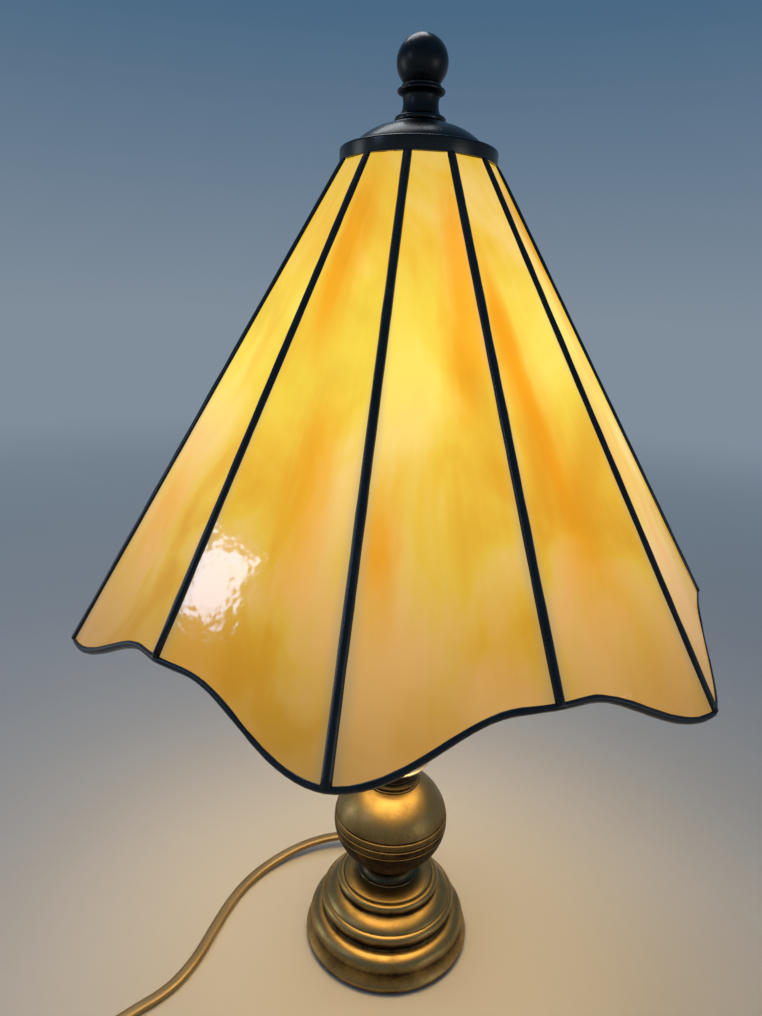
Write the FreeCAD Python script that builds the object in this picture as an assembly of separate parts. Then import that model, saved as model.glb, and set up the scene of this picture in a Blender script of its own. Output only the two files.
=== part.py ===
import FreeCAD, Part
import math
import os

# Stained glass table lamp: a twelve-sided slag glass shade on a turned brass base.
# Millimetres, +Z up, origin on the table under the middle of the foot, front towards -Y.
# Azimuths are counted from the front, positive towards +X.

# Shade: panels meet in straight seams that would all cross at one point above the cap.
panel_count = 12
shade_turn = -7.6            # azimuth of one low corner
shade_top_z = 400.0
shade_top_radius = 33.7      # outside, at a seam
shade_lean = 30.33           # seams from vertical
low_corner = 300.8           # slant length from the crossing point to the scalloped rim
high_corner = 277.4
scallop_part = 0.83          # part of a panel's width over which the rim rises
glass_thickness = 3.0
glass_gap = 0.9              # glass edge to seam line
seam_half_width = 1.9
seam_height = 1.1
seam_inner_width = 1.3
seam_inner_height = 1.3
rim_width = 3.2
rim_wrap = 1.7               # solder beyond the glass edge
rim_proud = 0.5

# Base, all turned about the lamp's axis
wall = 1.6
pad_thickness = 1.4
pad_radius = 43.8
pipe_radius = 4.85
pipe_bore = 3.55
pipe_bottom = 9.5
pipe_top = 131.0
pipe_hole = 4.95
foot_top_z = 40.6
ball_radius = 30.6
ball_half_height = 27.0
ball_centre_z = 74.0
ball_groove_heights = (79.3, 75.3, 71.0)
ball_groove_size = 0.35
ball_bottom_radius = 16.5
ball_top_radius = 14.3
cup_radius = 19.2
cup_edge_z = 111.0
saddle_z = 121.5
saddle_half_width = 26.0
saddle_thickness = 1.8

# Lampholder, bulb and harp
holder_z = saddle_z + saddle_thickness
shell_radius = 17.5
shell_top_z = 184.0
key_z = 157.0
bulb_seat_z = 152.0
bulb_radius = 30.0
bulb_centre_z = 229.0
cap_radius = 13.1
harp_wire_radius = 1.5
harp_half_width = 50.0
harp_top_z = 410.5
ferrule_z = 134.0
ferrule_length = 14.0
stud_radius = 3.1

# Vase cap and finial
cap_flange_radius = 33.9
cap_bottom_z = 400.2
cap_top_z = 416.75
finial_z = 416.8
finial_ball_radius = 10.86
finial_ball_z = 440.25

# Flex: flat twin core, lying flat
flex_width = 6.1
flex_thickness = 3.8
lead_radius = 2.3
exit_turn = 20.0             # the outlet points this far to the left of straight back
flex_route = [
    (-1.0, 40.4, 8.2), (-3.9, 48.4, 8.3), (-9.1, 55.1, 8.2), (-16.2, 59.9, 8.0), (-24.4, 62.2, 7.7),
    (-32.9, 61.9, 7.3), (-44.4, 58.4, 6.8), (-57.8, 51.6, 5.8), (-71.2, 41.1, 4.0), (-83.0, 27.5, 2.6),
    (-91.0, 10.3, 2.0), (-96.2, -11.2, 2.0), (-100.4, -32.0, 2.0), (-108.5, -50.5, 2.0),
    (-125.0, -65.5, 2.0), (-138.0, -79.5, 2.1), (-146.5, -97.0, 2.6), (-148.35, -112.0, 3.0),
    (-148.35, -126.0, 3.0),
]
coil_centre = (-104.0, -126.0)
coil_outer_turn = 44.35
coil_inner_turn = 21.9
coil_bottom_z = 1.05
coil_height = 7.8
tail_route = [
    (-104.0, -170.35, 6.9), (-92.0, -170.35, 6.85), (-80.0, -168.6, 6.7), (-68.5, -165.2, 6.55),
]
plug_turn = 17.0             # the plug points this far to the rear of +X
plug_length = 30.0
plug_width = 24.0
plug_height = 13.0
pin_spacing = 12.7
pin_size = (17.0, 1.5, 6.35)


def vec(x, y, z):
    return FreeCAD.Vector(x, y, z)


UP = vec(0, 0, 1)
ORIGIN = vec(0, 0, 0)


def outline(steps):
    """Closed wire in the XZ plane: (r, z) is a straight run, (mr, mz, r, z) an arc through (mr, mz)."""
    edges = []
    start = here = vec(steps[0][0], 0, steps[0][1])
    for step in steps[1:]:
        there = vec(step[-2], 0, step[-1])
        if len(step) == 4:
            edges.append(Part.Arc(here, vec(step[0], 0, step[1]), there).toShape())
        else:
            edges.append(Part.LineSegment(here, there).toShape())
        here = there
    if here.distanceToPoint(start) > 1e-6:
        edges.append(Part.LineSegment(here, start).toShape())
    return Part.Wire(edges)


def turned(steps):
    """A piece turned about the lamp's axis."""
    return Part.Face(outline(steps)).revolve(ORIGIN, UP, 360)


def ring(outer, inner, low, high):
    return turned([(inner, low), (outer, low), (outer, high), (inner, high)])


def rod(start, end, radius):
    return Part.makeCylinder(radius, (end - start).Length, start, end - start)


def rounded_path(points):
    """Straight runs joined by tangent arcs, with each arc's radius and the path's length."""
    edges = []
    radii = []
    length = 0.0
    here = points[0]
    for before, corner, after in zip(points, points[1:], points[2:]):
        back = (before - corner).normalize()
        on = (after - corner).normalize()
        half_turn = (math.pi - back.getAngle(on)) / 2
        cut = 0.45 * min((before - corner).Length, (after - corner).Length)
        radius = cut / math.tan(half_turn)
        start = corner + back * cut
        end = corner + on * cut
        inward = (back + on).normalize()
        middle = corner + inward * (radius / math.cos(half_turn) - radius)
        edges.append(Part.LineSegment(here, start).toShape())
        edges.append(Part.Arc(start, middle, end).toShape())
        length += (start - here).Length + 2 * half_turn * radius
        radii.append(radius)
        here = end
    edges.append(Part.LineSegment(here, points[-1]).toShape())
    return Part.Wire(edges), radii, length + (points[-1] - here).Length


def round_sweep(points, radius):
    path = rounded_path(points)[0]
    circle = Part.Circle(points[0], points[1] - points[0], radius)
    return path.makePipeShell([Part.Wire(circle.toShape())], True, False)


def flat_sweep(name, points):
    """A flat flex along points, its width kept level; prints its radii and its volume against its length."""
    path, radii, length = rounded_path(points)
    along = (points[1] - points[0]).normalize()
    side = UP.cross(along).normalize()
    rise = along.cross(side)
    half_flat = (flex_width - flex_thickness) / 2
    half_height = flex_thickness / 2

    def at(across, up):
        return points[0] + side * across + rise * up

    section = Part.Wire([
        Part.LineSegment(at(-half_flat, -half_height), at(half_flat, -half_height)).toShape(),
        Part.Arc(at(half_flat, -half_height), at(flex_width / 2, 0), at(half_flat, half_height)).toShape(),
        Part.LineSegment(at(half_flat, half_height), at(-half_flat, half_height)).toShape(),
        Part.Arc(at(-half_flat, half_height), at(-flex_width / 2, 0), at(-half_flat, -half_height)).toShape(),
    ])
    sweep = Part.BRepOffsetAPI.MakePipeShell(path)
    sweep.setBiNormalMode(UP)
    sweep.add(section)
    sweep.build()
    sweep.makeSolid()
    solid = sweep.shape()
    area = Part.Face(section).Area
    print(name, "length", round(length, 1), "least radius", round(min(radii), 1),
          "volume / (section x length)", round(solid.Volume / (area * length), 4))
    return solid


nodes = {}

# Foot: pad, spun shell, iron weight, and the washer and nut that draw the stem together
nodes["felt_pad"] = ring(pad_radius, 0, 0, pad_thickness)
foot_outer = [
    (42.4, pad_thickness), (44.1, pad_thickness), (45.2, 3.2, 44.6, 5.0), (43.3, 8.0, 43.0, 12.2),
    (40.9, 16.3, 36.0, 18.4), (35.2, 19.7, 35.6, 21.4), (36.9, 24.4, 34.6, 27.3), (34.2, 27.1), (33.9, 27.8),
    (31.2, 30.3, 27.7, 31.9), (26.8, 32.7, 27.0, 33.7), (28.0, 36.2, 24.9, 38.6), (24.5, 38.4), (24.2, 38.9),
    (20.8, 40.1, 17.2, foot_top_z), (pipe_hole, foot_top_z),
]
foot_inner = [
    (pipe_hole, foot_top_z - wall), (15.6, foot_top_z - wall), (20.2, 37.2), (24.0, 36.2), (25.2, 33.8),
    (25.3, 30.4), (31.4, 28.2), (33.4, 25.4), (33.9, 21.0), (34.0, 17.2), (39.2, 14.8), (41.2, 12.0),
]
foot = turned(foot_outer + foot_inner)
outlet_direction = vec(-math.sin(math.radians(exit_turn)), math.cos(math.radians(exit_turn)), 0)
outlet_point = vec(*flex_route[0]) + outlet_direction * 2.6
outlet_hole_radius = 4.4
inside = outlet_point - outlet_direction * 6
nodes["foot_shell"] = foot.cut(rod(inside, outlet_point + outlet_direction * 12, outlet_hole_radius))
nodes["iron_weight"] = turned([
    (pipe_hole, 15.4), (33.6, 15.4), (33.6, 21.0), (33.2, 25.0), (31.2, 27.6), (24.9, 29.4),
    (24.9, 33.2), (20.0, 35.6), (pipe_hole, 36.4),
])
nodes["base_washer"] = ring(11.0, 5.0, 13.8, 15.4)
hexagon = Part.makePolygon([vec(8.2 * math.cos(math.radians(60 * k)), 8.2 * math.sin(math.radians(60 * k)), 10.3)
                            for k in range(7)])
nut_blank = Part.Face(hexagon).extrude(vec(0, 0, 3.5))
nodes["base_nut"] = nut_blank.cut(rod(vec(0, 0, 10), vec(0, 0, 14), pipe_radius))
nodes["threaded_pipe"] = ring(pipe_radius, pipe_bore, pipe_bottom, pipe_top)

# Stem: neck, hollow ball with three fine grooves, collar, dark tube and cup
ball_bottom_z = ball_centre_z - ball_half_height * math.sqrt(1 - (ball_bottom_radius / ball_radius) ** 2)
ball_top_z = ball_centre_z + ball_half_height * math.sqrt(1 - (ball_top_radius / ball_radius) ** 2)
nodes["neck"] = turned([
    (pipe_hole, foot_top_z), (16.6, foot_top_z), (16.9, 41.2, 16.2, 41.9), (13.6, 45.4, 15.6, 49.2),
    (16.6, 50.0, 16.4, ball_bottom_z - 0.4), (14.6, ball_bottom_z), (pipe_hole, ball_bottom_z),
])


def egg(radius, half_height, centre_z):
    ball = Part.makeSphere(radius, vec(0, 0, 0))
    stretch = FreeCAD.Matrix()
    stretch.scale(1, 1, half_height / radius)
    squashed = ball.transformGeometry(stretch)
    squashed.translate(vec(0, 0, centre_z))
    return squashed


shell = egg(ball_radius, ball_half_height, ball_centre_z)
shell = shell.cut(egg(ball_radius - wall, ball_half_height - wall, ball_centre_z))
shell = shell.common(ring(40, ball_top_radius - 3.2, ball_bottom_z, ball_top_z))
for height in ball_groove_heights:
    at_groove = ball_radius * math.sqrt(1 - ((height - ball_centre_z) / ball_half_height) ** 2)
    shell = shell.cut(Part.makeTorus(at_groove + 0.12, ball_groove_size, vec(0, 0, height)))
nodes["ball"] = shell
nodes["ball_collar"] = turned([
    (pipe_hole, ball_top_z), (14.3, ball_top_z), (15.0, 98.4, 14.4, 99.0), (12.6, 99.9, 12.2, 102.4),
    (pipe_hole, 102.4),
])
nodes["dark_tube"] = ring(12.0, pipe_hole, 102.4, 110.2)
nodes["cup"] = turned([
    (pipe_hole, 110.2), (13.4, 110.2), (16.4, 110.3, 18.5, 110.9), (19.4, 111.3, 18.9, 112.0),
    (16.2, 116.8, 11.0, saddle_z), (pipe_hole, saddle_z),
])

# Lampholder: cap, insulated body with its screw shell and contact, outer shell and turn key
nodes["holder_cap"] = turned([
    (pipe_hole, holder_z), (9.0, holder_z), (15.6, 126.4, 18.3, 134.0), (18.6, 140.0), (17.4, 140.0),
    (17.1, 134.4), (14.8, 127.8, 8.8, 124.9), (pipe_hole, 124.9),
])
nodes["holder_body"] = ring(15.2, 5.2, 141.0, 149.0)
nodes["centre_contact"] = turned([(0, 149.0), (4.2, 149.0), (4.2, 149.9), (2.0, 150.7), (0, 150.7)])
nodes["screw_shell"] = ring(14.2, 13.55, 149.0, 172.0)
nodes["shell_liner"] = ring(16.2, 15.3, 141.0, 182.0)
outer_shell = turned([
    (16.5, 137.6), (17.05, 137.6), (17.05, 141.0), (17.5, 141.6), (17.5, 176.0),
    (17.9, 178.0, 18.6, 180.0), (18.9, 181.4, 18.4, shell_top_z), (17.6, shell_top_z), (17.3, 180.2),
    (16.5, 176.5),
])
key_stem_radius = 2.0
key_hole = rod(vec(0, 10, key_z), vec(0, 30, key_z), key_stem_radius + 0.1)
nodes["holder_shell"] = outer_shell.cut(key_hole)
nodes["shell_liner"] = nodes["shell_liner"].cut(key_hole)
key_stem = rod(vec(0, 14.9, key_z), vec(0, 27.0, key_z), key_stem_radius)
knob = Part.makeCylinder(5.2, 9.0, vec(0, 25.0, key_z), vec(0, 1, 0))
for k in range(8):
    angle = math.radians(45 * k)
    flute = vec(6.3 * math.cos(angle), 24, key_z + 6.3 * math.sin(angle))
    knob = knob.cut(rod(flute, flute + vec(0, 12, 0), 1.8))
nodes["switch_key"] = key_stem.fuse(knob)

# Bulb: screw cap with its insulator and eyelet, frosted envelope, and the glass stem inside
thread_pitch = 3.6
thread_turns = 6
bulb_cap_top = bulb_seat_z + 25.0
cap_steps = [(4.6, bulb_seat_z + 1.8), (9.0, bulb_seat_z + 1.8), (12.4, bulb_seat_z + 3.4)]
for k in range(thread_turns):
    low = bulb_seat_z + 3.4 + k * thread_pitch * 0.9
    cap_steps.append((cap_radius + 0.1, low + thread_pitch * 0.45, 12.4, low + thread_pitch * 0.9))
cap_steps += [(12.4, bulb_cap_top), (11.4, bulb_cap_top), (11.4, bulb_seat_z + 4.2), (4.6, bulb_seat_z + 2.8)]
nodes["bulb_cap"] = turned(cap_steps)
nodes["bulb_insulator"] = turned([(0, bulb_seat_z), (3.4, bulb_seat_z), (4.5, bulb_seat_z + 1.8),
                                  (4.5, bulb_seat_z + 2.8), (0, bulb_seat_z + 2.8)])
nodes["bulb_eyelet"] = turned([(0, bulb_seat_z - 1.1), (1.6, bulb_seat_z - 1.1), (3.2, bulb_seat_z),
                               (0, bulb_seat_z)])


def envelope(inset):
    """Round bulb: a neck that flares into a ball centred on the axis."""
    neck = 13.2 - inset
    wide = bulb_radius - inset
    flare = math.radians(-30)
    crown = math.radians(30)
    return turned([
        (0, bulb_cap_top), (neck, bulb_cap_top), (neck + 0.4, bulb_cap_top + 8),
        (neck + 4.6, bulb_cap_top + 23, wide * math.cos(flare), bulb_centre_z + wide * math.sin(flare)),
        (wide * math.cos(crown), bulb_centre_z + wide * math.sin(crown), 0, bulb_centre_z + wide),
    ])


nodes["bulb_glass"] = envelope(0).cut(envelope(0.9))
nodes["bulb_stem"] = turned([
    (0, bulb_cap_top - 6), (9.0, bulb_cap_top - 6), (9.0, bulb_cap_top - 4), (4.6, bulb_cap_top + 4),
    (2.4, bulb_cap_top + 12, 2.2, bulb_cap_top + 26), (1.2, bulb_cap_top + 28.6), (0, bulb_cap_top + 28.6),
])
filament_z = bulb_cap_top + 40
filament_path = [vec(0, 0, bulb_cap_top + 28.6), vec(0, 0, bulb_cap_top + 32), vec(-13, 0, filament_z),
                 vec(-7, 0, filament_z + 5), vec(0, 0, filament_z + 3), vec(7, 0, filament_z + 5),
                 vec(13, 0, filament_z)]
nodes["bulb_filament"] = round_sweep(filament_path, 0.4)

# Harp: saddle under the lampholder, locking ferrules, wire bow and threaded stud
tab_width = 4.8
tab_top = 140.0
plate = Part.makeBox(2 * saddle_half_width, 13, saddle_thickness, vec(-saddle_half_width, -6.5, saddle_z))
plate = plate.cut(Part.makeCylinder(pipe_hole, 6, vec(0, 0, saddle_z - 2)))
for side in (-1, 1):
    tab = Part.makeBox(1.8, tab_width, tab_top - saddle_z, vec(side * saddle_half_width - 0.9, -tab_width / 2, saddle_z))
    plate = plate.fuse(tab)
nodes["harp_saddle"] = plate.removeSplitter()
half_bow = [(saddle_half_width, tab_top + 0.2), (saddle_half_width, 163.0), (43.0, 190.0),
            (harp_half_width, 226.0), (harp_half_width + 1.5, 275.0), (harp_half_width - 1.5, 322.0),
            (39.0, 364.0), (25.0, 397.0), (9.0, harp_top_z)]
bow_points = [vec(x, 0, z) for x, z in half_bow]
bow_points += [vec(-x, 0, z) for x, z in reversed(half_bow)]
bow_points.insert(len(half_bow), vec(0, 0, harp_top_z + 0.6))
nodes["harp_bow"] = round_sweep(bow_points, harp_wire_radius)
for side, word in ((-1, "left"), (1, "right")):
    sleeve = ring(4.2, 2.85, ferrule_z, ferrule_z + ferrule_length)
    sleeve.translate(vec(side * saddle_half_width, 0, 0))
    nodes["ferrule_" + word] = sleeve
cap_wall = 1.4
plate_top = cap_top_z - cap_wall - 0.05
stud = turned([
    (0, 407.2), (4.6, 407.2), (5.2, 407.8), (5.2, 413.4), (8.4, 413.4), (8.4, plate_top),
    (stud_radius, plate_top), (stud_radius, 430.0), (2.6, 430.6), (0, 430.6),
])
nodes["harp_stud"] = stud.cut(nodes["harp_bow"])

# Shade: one half scallop is laid out in its own plane, then mirrored and turned round
apex = vec(0, 0, shade_top_z + shade_top_radius / math.tan(math.radians(shade_lean)))
step = math.radians(360 / panel_count)


def seam_direction(azimuth):
    out = math.sin(math.radians(shade_lean))
    return vec(out * math.sin(azimuth), -out * math.cos(azimuth), -math.cos(math.radians(shade_lean)))


low_seam = seam_direction(0)
high_seam = seam_direction(step)
panel_down = (low_seam + high_seam).normalize()
panel_across = (high_seam - low_seam).normalize()
panel_out = panel_across.cross(panel_down)
if panel_out.z < 0:
    panel_out = panel_out * -1
panel_angle = low_seam.getAngle(high_seam)


def on_panel(angle, slant, out=0.0):
    """Point in the panel's plane, angle counted from the low seam about the crossing point."""
    turn = angle - panel_angle / 2
    return apex + panel_down * (slant * math.cos(turn)) + panel_across * (slant * math.sin(turn)) + panel_out * out


def rim_slant(angle):
    """The scalloped rim: a half wave from the low corner, then level to the high one."""
    middle = (low_corner + high_corner) / 2
    swing = (low_corner - high_corner) / 2
    part = min(abs(angle) / (panel_angle * scallop_part), 1.0)
    return middle + swing * math.cos(math.pi * part)


def rim_curve(start, end, inset, out, count=17):
    points = []
    for k in range(count):
        angle = start + (end - start) * k / (count - 1)
        points.append(on_panel(angle, rim_slant(angle) - inset, out))
    curve = Part.BSplineCurve()
    curve.interpolate(points)
    return curve.toShape(), points[0], points[-1]


def glass_panel():
    top_slant = (apex.z - shade_top_z) / math.cos(math.radians(shade_lean)) * math.cos(panel_angle / 2)
    start = glass_gap / (low_corner - rim_wrap)
    end = panel_angle - glass_gap / (high_corner - rim_wrap)
    edge, low_end, high_end = rim_curve(start, end, rim_wrap, 0)
    half = top_slant * math.tan(panel_angle / 2) - glass_gap / math.cos(panel_angle / 2)
    low_top = apex + panel_down * top_slant - panel_across * half
    high_top = apex + panel_down * top_slant + panel_across * half
    wire = Part.Wire([
        Part.LineSegment(low_top, low_end).toShape(), edge,
        Part.LineSegment(high_end, high_top).toShape(),
        Part.LineSegment(high_top, low_top).toShape(),
    ])
    return Part.Face(wire).extrude(panel_out * -glass_thickness)


def rim_strip(glass):
    """The solder bead round one panel's lower edge, mitred on the seams."""
    spare = 0.02
    outer, outer_start, outer_end = rim_curve(-spare, panel_angle + spare, 0, rim_proud)
    inner, inner_start, inner_end = rim_curve(-spare, panel_angle + spare, rim_width, rim_proud)
    wire = Part.Wire([
        outer, Part.LineSegment(outer_end, inner_end).toShape(), inner,
        Part.LineSegment(inner_start, outer_start).toShape(),
    ])
    strip = Part.Face(wire).extrude(panel_out * -(glass_thickness + 2 * rim_proud))
    reach = 400
    sector = Part.makePolygon([
        vec(0, 0, 150), vec(0, -reach, 150),
        vec(reach * math.sin(step), -reach * math.cos(step), 150), vec(0, 0, 150),
    ])
    wedge = Part.Face(sector).extrude(vec(0, 0, 300))
    return strip.common(wedge).cut(glass).Solids[0]


def seam(end_slant):
    """Solder bead over copper foil along one seam: a rounded rib outside and in, and a web between."""
    lean = math.radians(shade_lean)
    outward = vec(0, -math.cos(lean), math.sin(lean))
    across = vec(1, 0, 0)
    fold = panel_out.getAngle(outward)
    start_slant = shade_top_radius / math.sin(lean) + 0.6
    end_slant -= rim_width + 0.05
    base = apex + low_seam * start_slant
    glass_edge = (glass_gap * math.cos(fold), -glass_gap * math.sin(fold))
    inner_edge = (glass_edge[0] - glass_thickness * math.sin(fold), glass_edge[1] - glass_thickness * math.cos(fold))
    toe = (seam_half_width * math.cos(fold), -seam_half_width * math.sin(fold))
    inner_toe = (inner_edge[0] + seam_inner_width * math.cos(fold), inner_edge[1] - seam_inner_width * math.sin(fold))

    def at(x, y):
        return base + across * x + outward * y

    def line(a, b):
        return Part.LineSegment(at(*a), at(*b)).toShape()

    def mirrored(point):
        return (-point[0], point[1])

    section = Part.Wire([
        Part.Arc(at(*mirrored(toe)), at(0, seam_height), at(*toe)).toShape(),
        line(toe, glass_edge), line(glass_edge, inner_edge), line(inner_edge, inner_toe),
        Part.Arc(at(*inner_toe), at(0, inner_toe[1] - seam_inner_height), at(*mirrored(inner_toe))).toShape(),
        line(mirrored(inner_toe), mirrored(inner_edge)), line(mirrored(inner_edge), mirrored(glass_edge)),
        line(mirrored(glass_edge), mirrored(toe)),
    ])
    return Part.Face(section).extrude(low_seam * (end_slant - start_slant))


def turned_to(shape, azimuth):
    copy = shape.copy()
    copy.rotate(ORIGIN, UP, azimuth)
    return copy


right_glass = glass_panel()
right_strip = rim_strip(right_glass)
left_glass = right_glass.mirror(ORIGIN, vec(1, 0, 0))
left_strip = right_strip.mirror(ORIGIN, vec(1, 0, 0))
low_bead = seam(low_corner)
high_bead = seam(high_corner)
strips = []
low_beads = []
high_beads = []
for pair in range(panel_count // 2):
    azimuth = shade_turn + 60 * pair
    nodes["glass_panel_%02d" % (2 * pair + 1)] = turned_to(right_glass, azimuth)
    nodes["glass_panel_%02d" % (2 * pair + 2)] = turned_to(left_glass, azimuth + 60)
    strips += [turned_to(right_strip, azimuth), turned_to(left_strip, azimuth + 60)]
    low_beads.append(turned_to(low_bead, azimuth))
    high_beads.append(turned_to(high_bead, azimuth + 30))
nodes["corner_seams"] = Part.makeCompound(low_beads)
nodes["valley_seams"] = Part.makeCompound(high_beads)
nodes["rim_bead"] = Part.makeCompound(strips)
nodes["shade_ring"] = ring(30.2, 28.2, 393.6, 396.6)
nodes["vase_cap"] = turned([
    (cap_flange_radius - 1.3, cap_bottom_z), (cap_flange_radius, cap_bottom_z), (cap_flange_radius, 405.0),
    (33.6, 405.9, 32.8, 406.2), (28.6, 406.4), (27.6, 408.0), (21.4, 412.9, 13.9, 415.6), (13.4, 416.2),
    (10.6, cap_top_z), (3.7, cap_top_z), (3.7, cap_top_z - cap_wall), (11.0, cap_top_z - cap_wall),
    (13.0, 414.4), (20.4, 411.5, 26.0, 407.2), (27.0, 404.9), (cap_flange_radius - 1.3, 404.7),
])

# Finial: turned knob, drilled for the harp's stud
finial = turned([
    (0, finial_z), (10.2, finial_z), (11.0, 417.9, 10.3, 419.4), (8.8, 419.9), (7.6, 423.4, 8.0, 427.6),
    (9.4, 428.6), (10.2, 429.3, 9.5, 430.0), (8.2, 430.7), (8.4, 431.5), (7.6, 432.2), (7.4, 434.0),
    (0, 434.0),
])
finial = finial.fuse(Part.makeSphere(finial_ball_radius, vec(0, 0, finial_ball_z)))
nodes["finial"] = finial.cut(turned([(0, finial_z - 1), (stud_radius + 0.07, finial_z - 1),
                                     (stud_radius + 0.07, 431.0), (0, 433.0)]))

# Flex: outlet bush, lead inside the stem, the run on the table, its coil, tie, tail and plug
bush = rod(outlet_point - outlet_direction * 3.4, outlet_point + outlet_direction * 2.4, outlet_hole_radius - 0.05)
bush = bush.fuse(rod(outlet_point + outlet_direction * 1.0, outlet_point + outlet_direction * 3.0, 5.6))
bush = bush.fuse(rod(outlet_point - outlet_direction * 4.6, outlet_point - outlet_direction * 3.2, 5.4))
nodes["outlet_bush"] = bush.cut(nodes["foot_shell"]).cut(
    rod(outlet_point - outlet_direction * 9, outlet_point + outlet_direction * 9, flex_width / 2 + 0.1))
flex_start = vec(*flex_route[0])
lead_points = [flex_start - outlet_direction * 0.05, flex_start - outlet_direction * 16 + vec(0, 0, -2),
               vec(9.0, 9.0, 5.2), vec(0, 0, 4.9), vec(0, 0, 60), vec(0.4, 0, 138)]
nodes["inner_lead"] = round_sweep(lead_points, lead_radius)
nodes["flex_run"] = flat_sweep("flex_run", [vec(*point) for point in flex_route])
coil_outer = coil_outer_turn + flex_width / 2
coil_inner = coil_inner_turn - flex_width / 2
corner = 1.6
coil_top = coil_bottom_z + coil_height
coil = turned([
    (coil_inner + corner, coil_bottom_z), (coil_outer - corner, coil_bottom_z),
    (coil_outer - 0.3 * corner, coil_bottom_z + 0.3 * corner, coil_outer, coil_bottom_z + corner),
    (coil_outer, coil_top - corner),
    (coil_outer - 0.3 * corner, coil_top - 0.3 * corner, coil_outer - corner, coil_top),
    (coil_inner + corner, coil_top),
    (coil_inner + 0.3 * corner, coil_top - 0.3 * corner, coil_inner, coil_top - corner),
    (coil_inner, coil_bottom_z + corner),
    (coil_inner + 0.3 * corner, coil_bottom_z + 0.3 * corner, coil_inner + corner, coil_bottom_z),
])
coil.translate(vec(coil_centre[0], coil_centre[1], 0))
nodes["flex_coil"] = coil
tie_wall = 0.9
tie_width = 8.0
tie_hole_x = coil_centre[0] + coil_inner - 0.3
tie_span = coil_outer - coil_inner + 0.6
tie = Part.makeBox(tie_span + 2 * tie_wall, tie_width, coil_height + 0.2 + 2 * tie_wall,
                   vec(tie_hole_x - tie_wall, coil_centre[1] - tie_width / 2, coil_bottom_z - 0.1 - tie_wall))
tie = tie.cut(Part.makeBox(tie_span, 2 * tie_width, coil_height + 0.2,
                           vec(tie_hole_x, coil_centre[1] - tie_width, coil_bottom_z - 0.1)))
nodes["flex_tie"] = tie
nodes["flex_tail"] = flat_sweep("flex_tail", [vec(*point) for point in tail_route])

plug = Part.makeBox(plug_length, plug_width, plug_height, vec(9, -plug_width / 2, -plug_height / 2))
upright = [edge for edge in plug.Edges if abs(edge.tangentAt(edge.FirstParameter).z) > 0.9]
plug = plug.makeFillet(5.0, upright)
plug = plug.makeChamfer(1.6, [edge for edge in plug.Edges if abs(edge.CenterOfMass.z) > plug_height / 2 - 0.01])
relief = Part.makeCone(3.9, 5.4, 10.0, vec(0, 0, 0), vec(1, 0, 0))
plug = plug.fuse(relief)
pins = []
for side in (-1, 1):
    pins.append(Part.makeBox(pin_size[0] + 4, pin_size[1], pin_size[2],
                             vec(9 + plug_length - 4, side * pin_spacing / 2 - pin_size[1] / 2, -pin_size[2] / 2)))
plug_pins = Part.makeCompound(pins)
plug = plug.cut(plug_pins)
plug_end = vec(*tail_route[-1])
for shape in (plug, plug_pins):
    shape.rotate(ORIGIN, UP, plug_turn)
    shape.translate(plug_end)
nodes["plug_body"] = plug
nodes["plug_pins"] = plug_pins

os.makedirs("parts", exist_ok=True)
for name, shape in nodes.items():
    shape.exportStep("parts/" + name + ".step")
    box = shape.BoundBox
    print(name, len(shape.Solids), shape.isValid(), round(shape.Volume, 1),
          [round(v, 1) for v in (box.XMin, box.YMin, box.ZMin, box.XMax, box.YMax, box.ZMax)])
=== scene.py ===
import math

import bmesh
import bpy
from mathutils import Matrix, Vector, noise


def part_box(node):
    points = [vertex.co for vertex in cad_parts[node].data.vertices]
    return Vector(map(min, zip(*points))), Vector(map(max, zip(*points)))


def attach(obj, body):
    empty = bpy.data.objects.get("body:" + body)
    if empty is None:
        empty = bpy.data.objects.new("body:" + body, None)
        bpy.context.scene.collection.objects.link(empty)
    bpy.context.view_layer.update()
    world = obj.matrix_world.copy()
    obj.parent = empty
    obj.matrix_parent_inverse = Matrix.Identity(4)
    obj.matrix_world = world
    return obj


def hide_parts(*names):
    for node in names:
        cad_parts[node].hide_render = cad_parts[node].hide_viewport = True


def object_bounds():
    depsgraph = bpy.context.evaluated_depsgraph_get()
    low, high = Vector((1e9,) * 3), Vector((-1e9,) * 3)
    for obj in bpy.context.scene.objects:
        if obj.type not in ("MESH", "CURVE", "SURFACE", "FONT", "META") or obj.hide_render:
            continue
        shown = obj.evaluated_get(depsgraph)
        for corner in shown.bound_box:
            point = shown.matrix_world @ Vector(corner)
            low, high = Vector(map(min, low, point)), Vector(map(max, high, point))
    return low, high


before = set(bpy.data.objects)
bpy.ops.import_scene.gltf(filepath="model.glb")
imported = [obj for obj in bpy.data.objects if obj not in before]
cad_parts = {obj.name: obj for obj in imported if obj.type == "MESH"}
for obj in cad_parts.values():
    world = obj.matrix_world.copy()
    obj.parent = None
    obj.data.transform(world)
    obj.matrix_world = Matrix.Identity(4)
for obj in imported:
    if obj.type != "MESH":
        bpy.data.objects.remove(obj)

MM = 0.001
scene = bpy.context.scene
cad_low, cad_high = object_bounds()


# Studio: a pale floor under soft light from above, behind and both sides, with one small
# window of light at the left that a panel mirrors. The camera stands close in front.
camera_distance = 336 * MM
camera_height = 337.8 * MM
camera_heading = -1.867      # degrees, positive towards +X
camera_pitch = -14.98        # degrees, positive upwards
camera_roll = 1.970
camera_lens = 25.37

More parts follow.
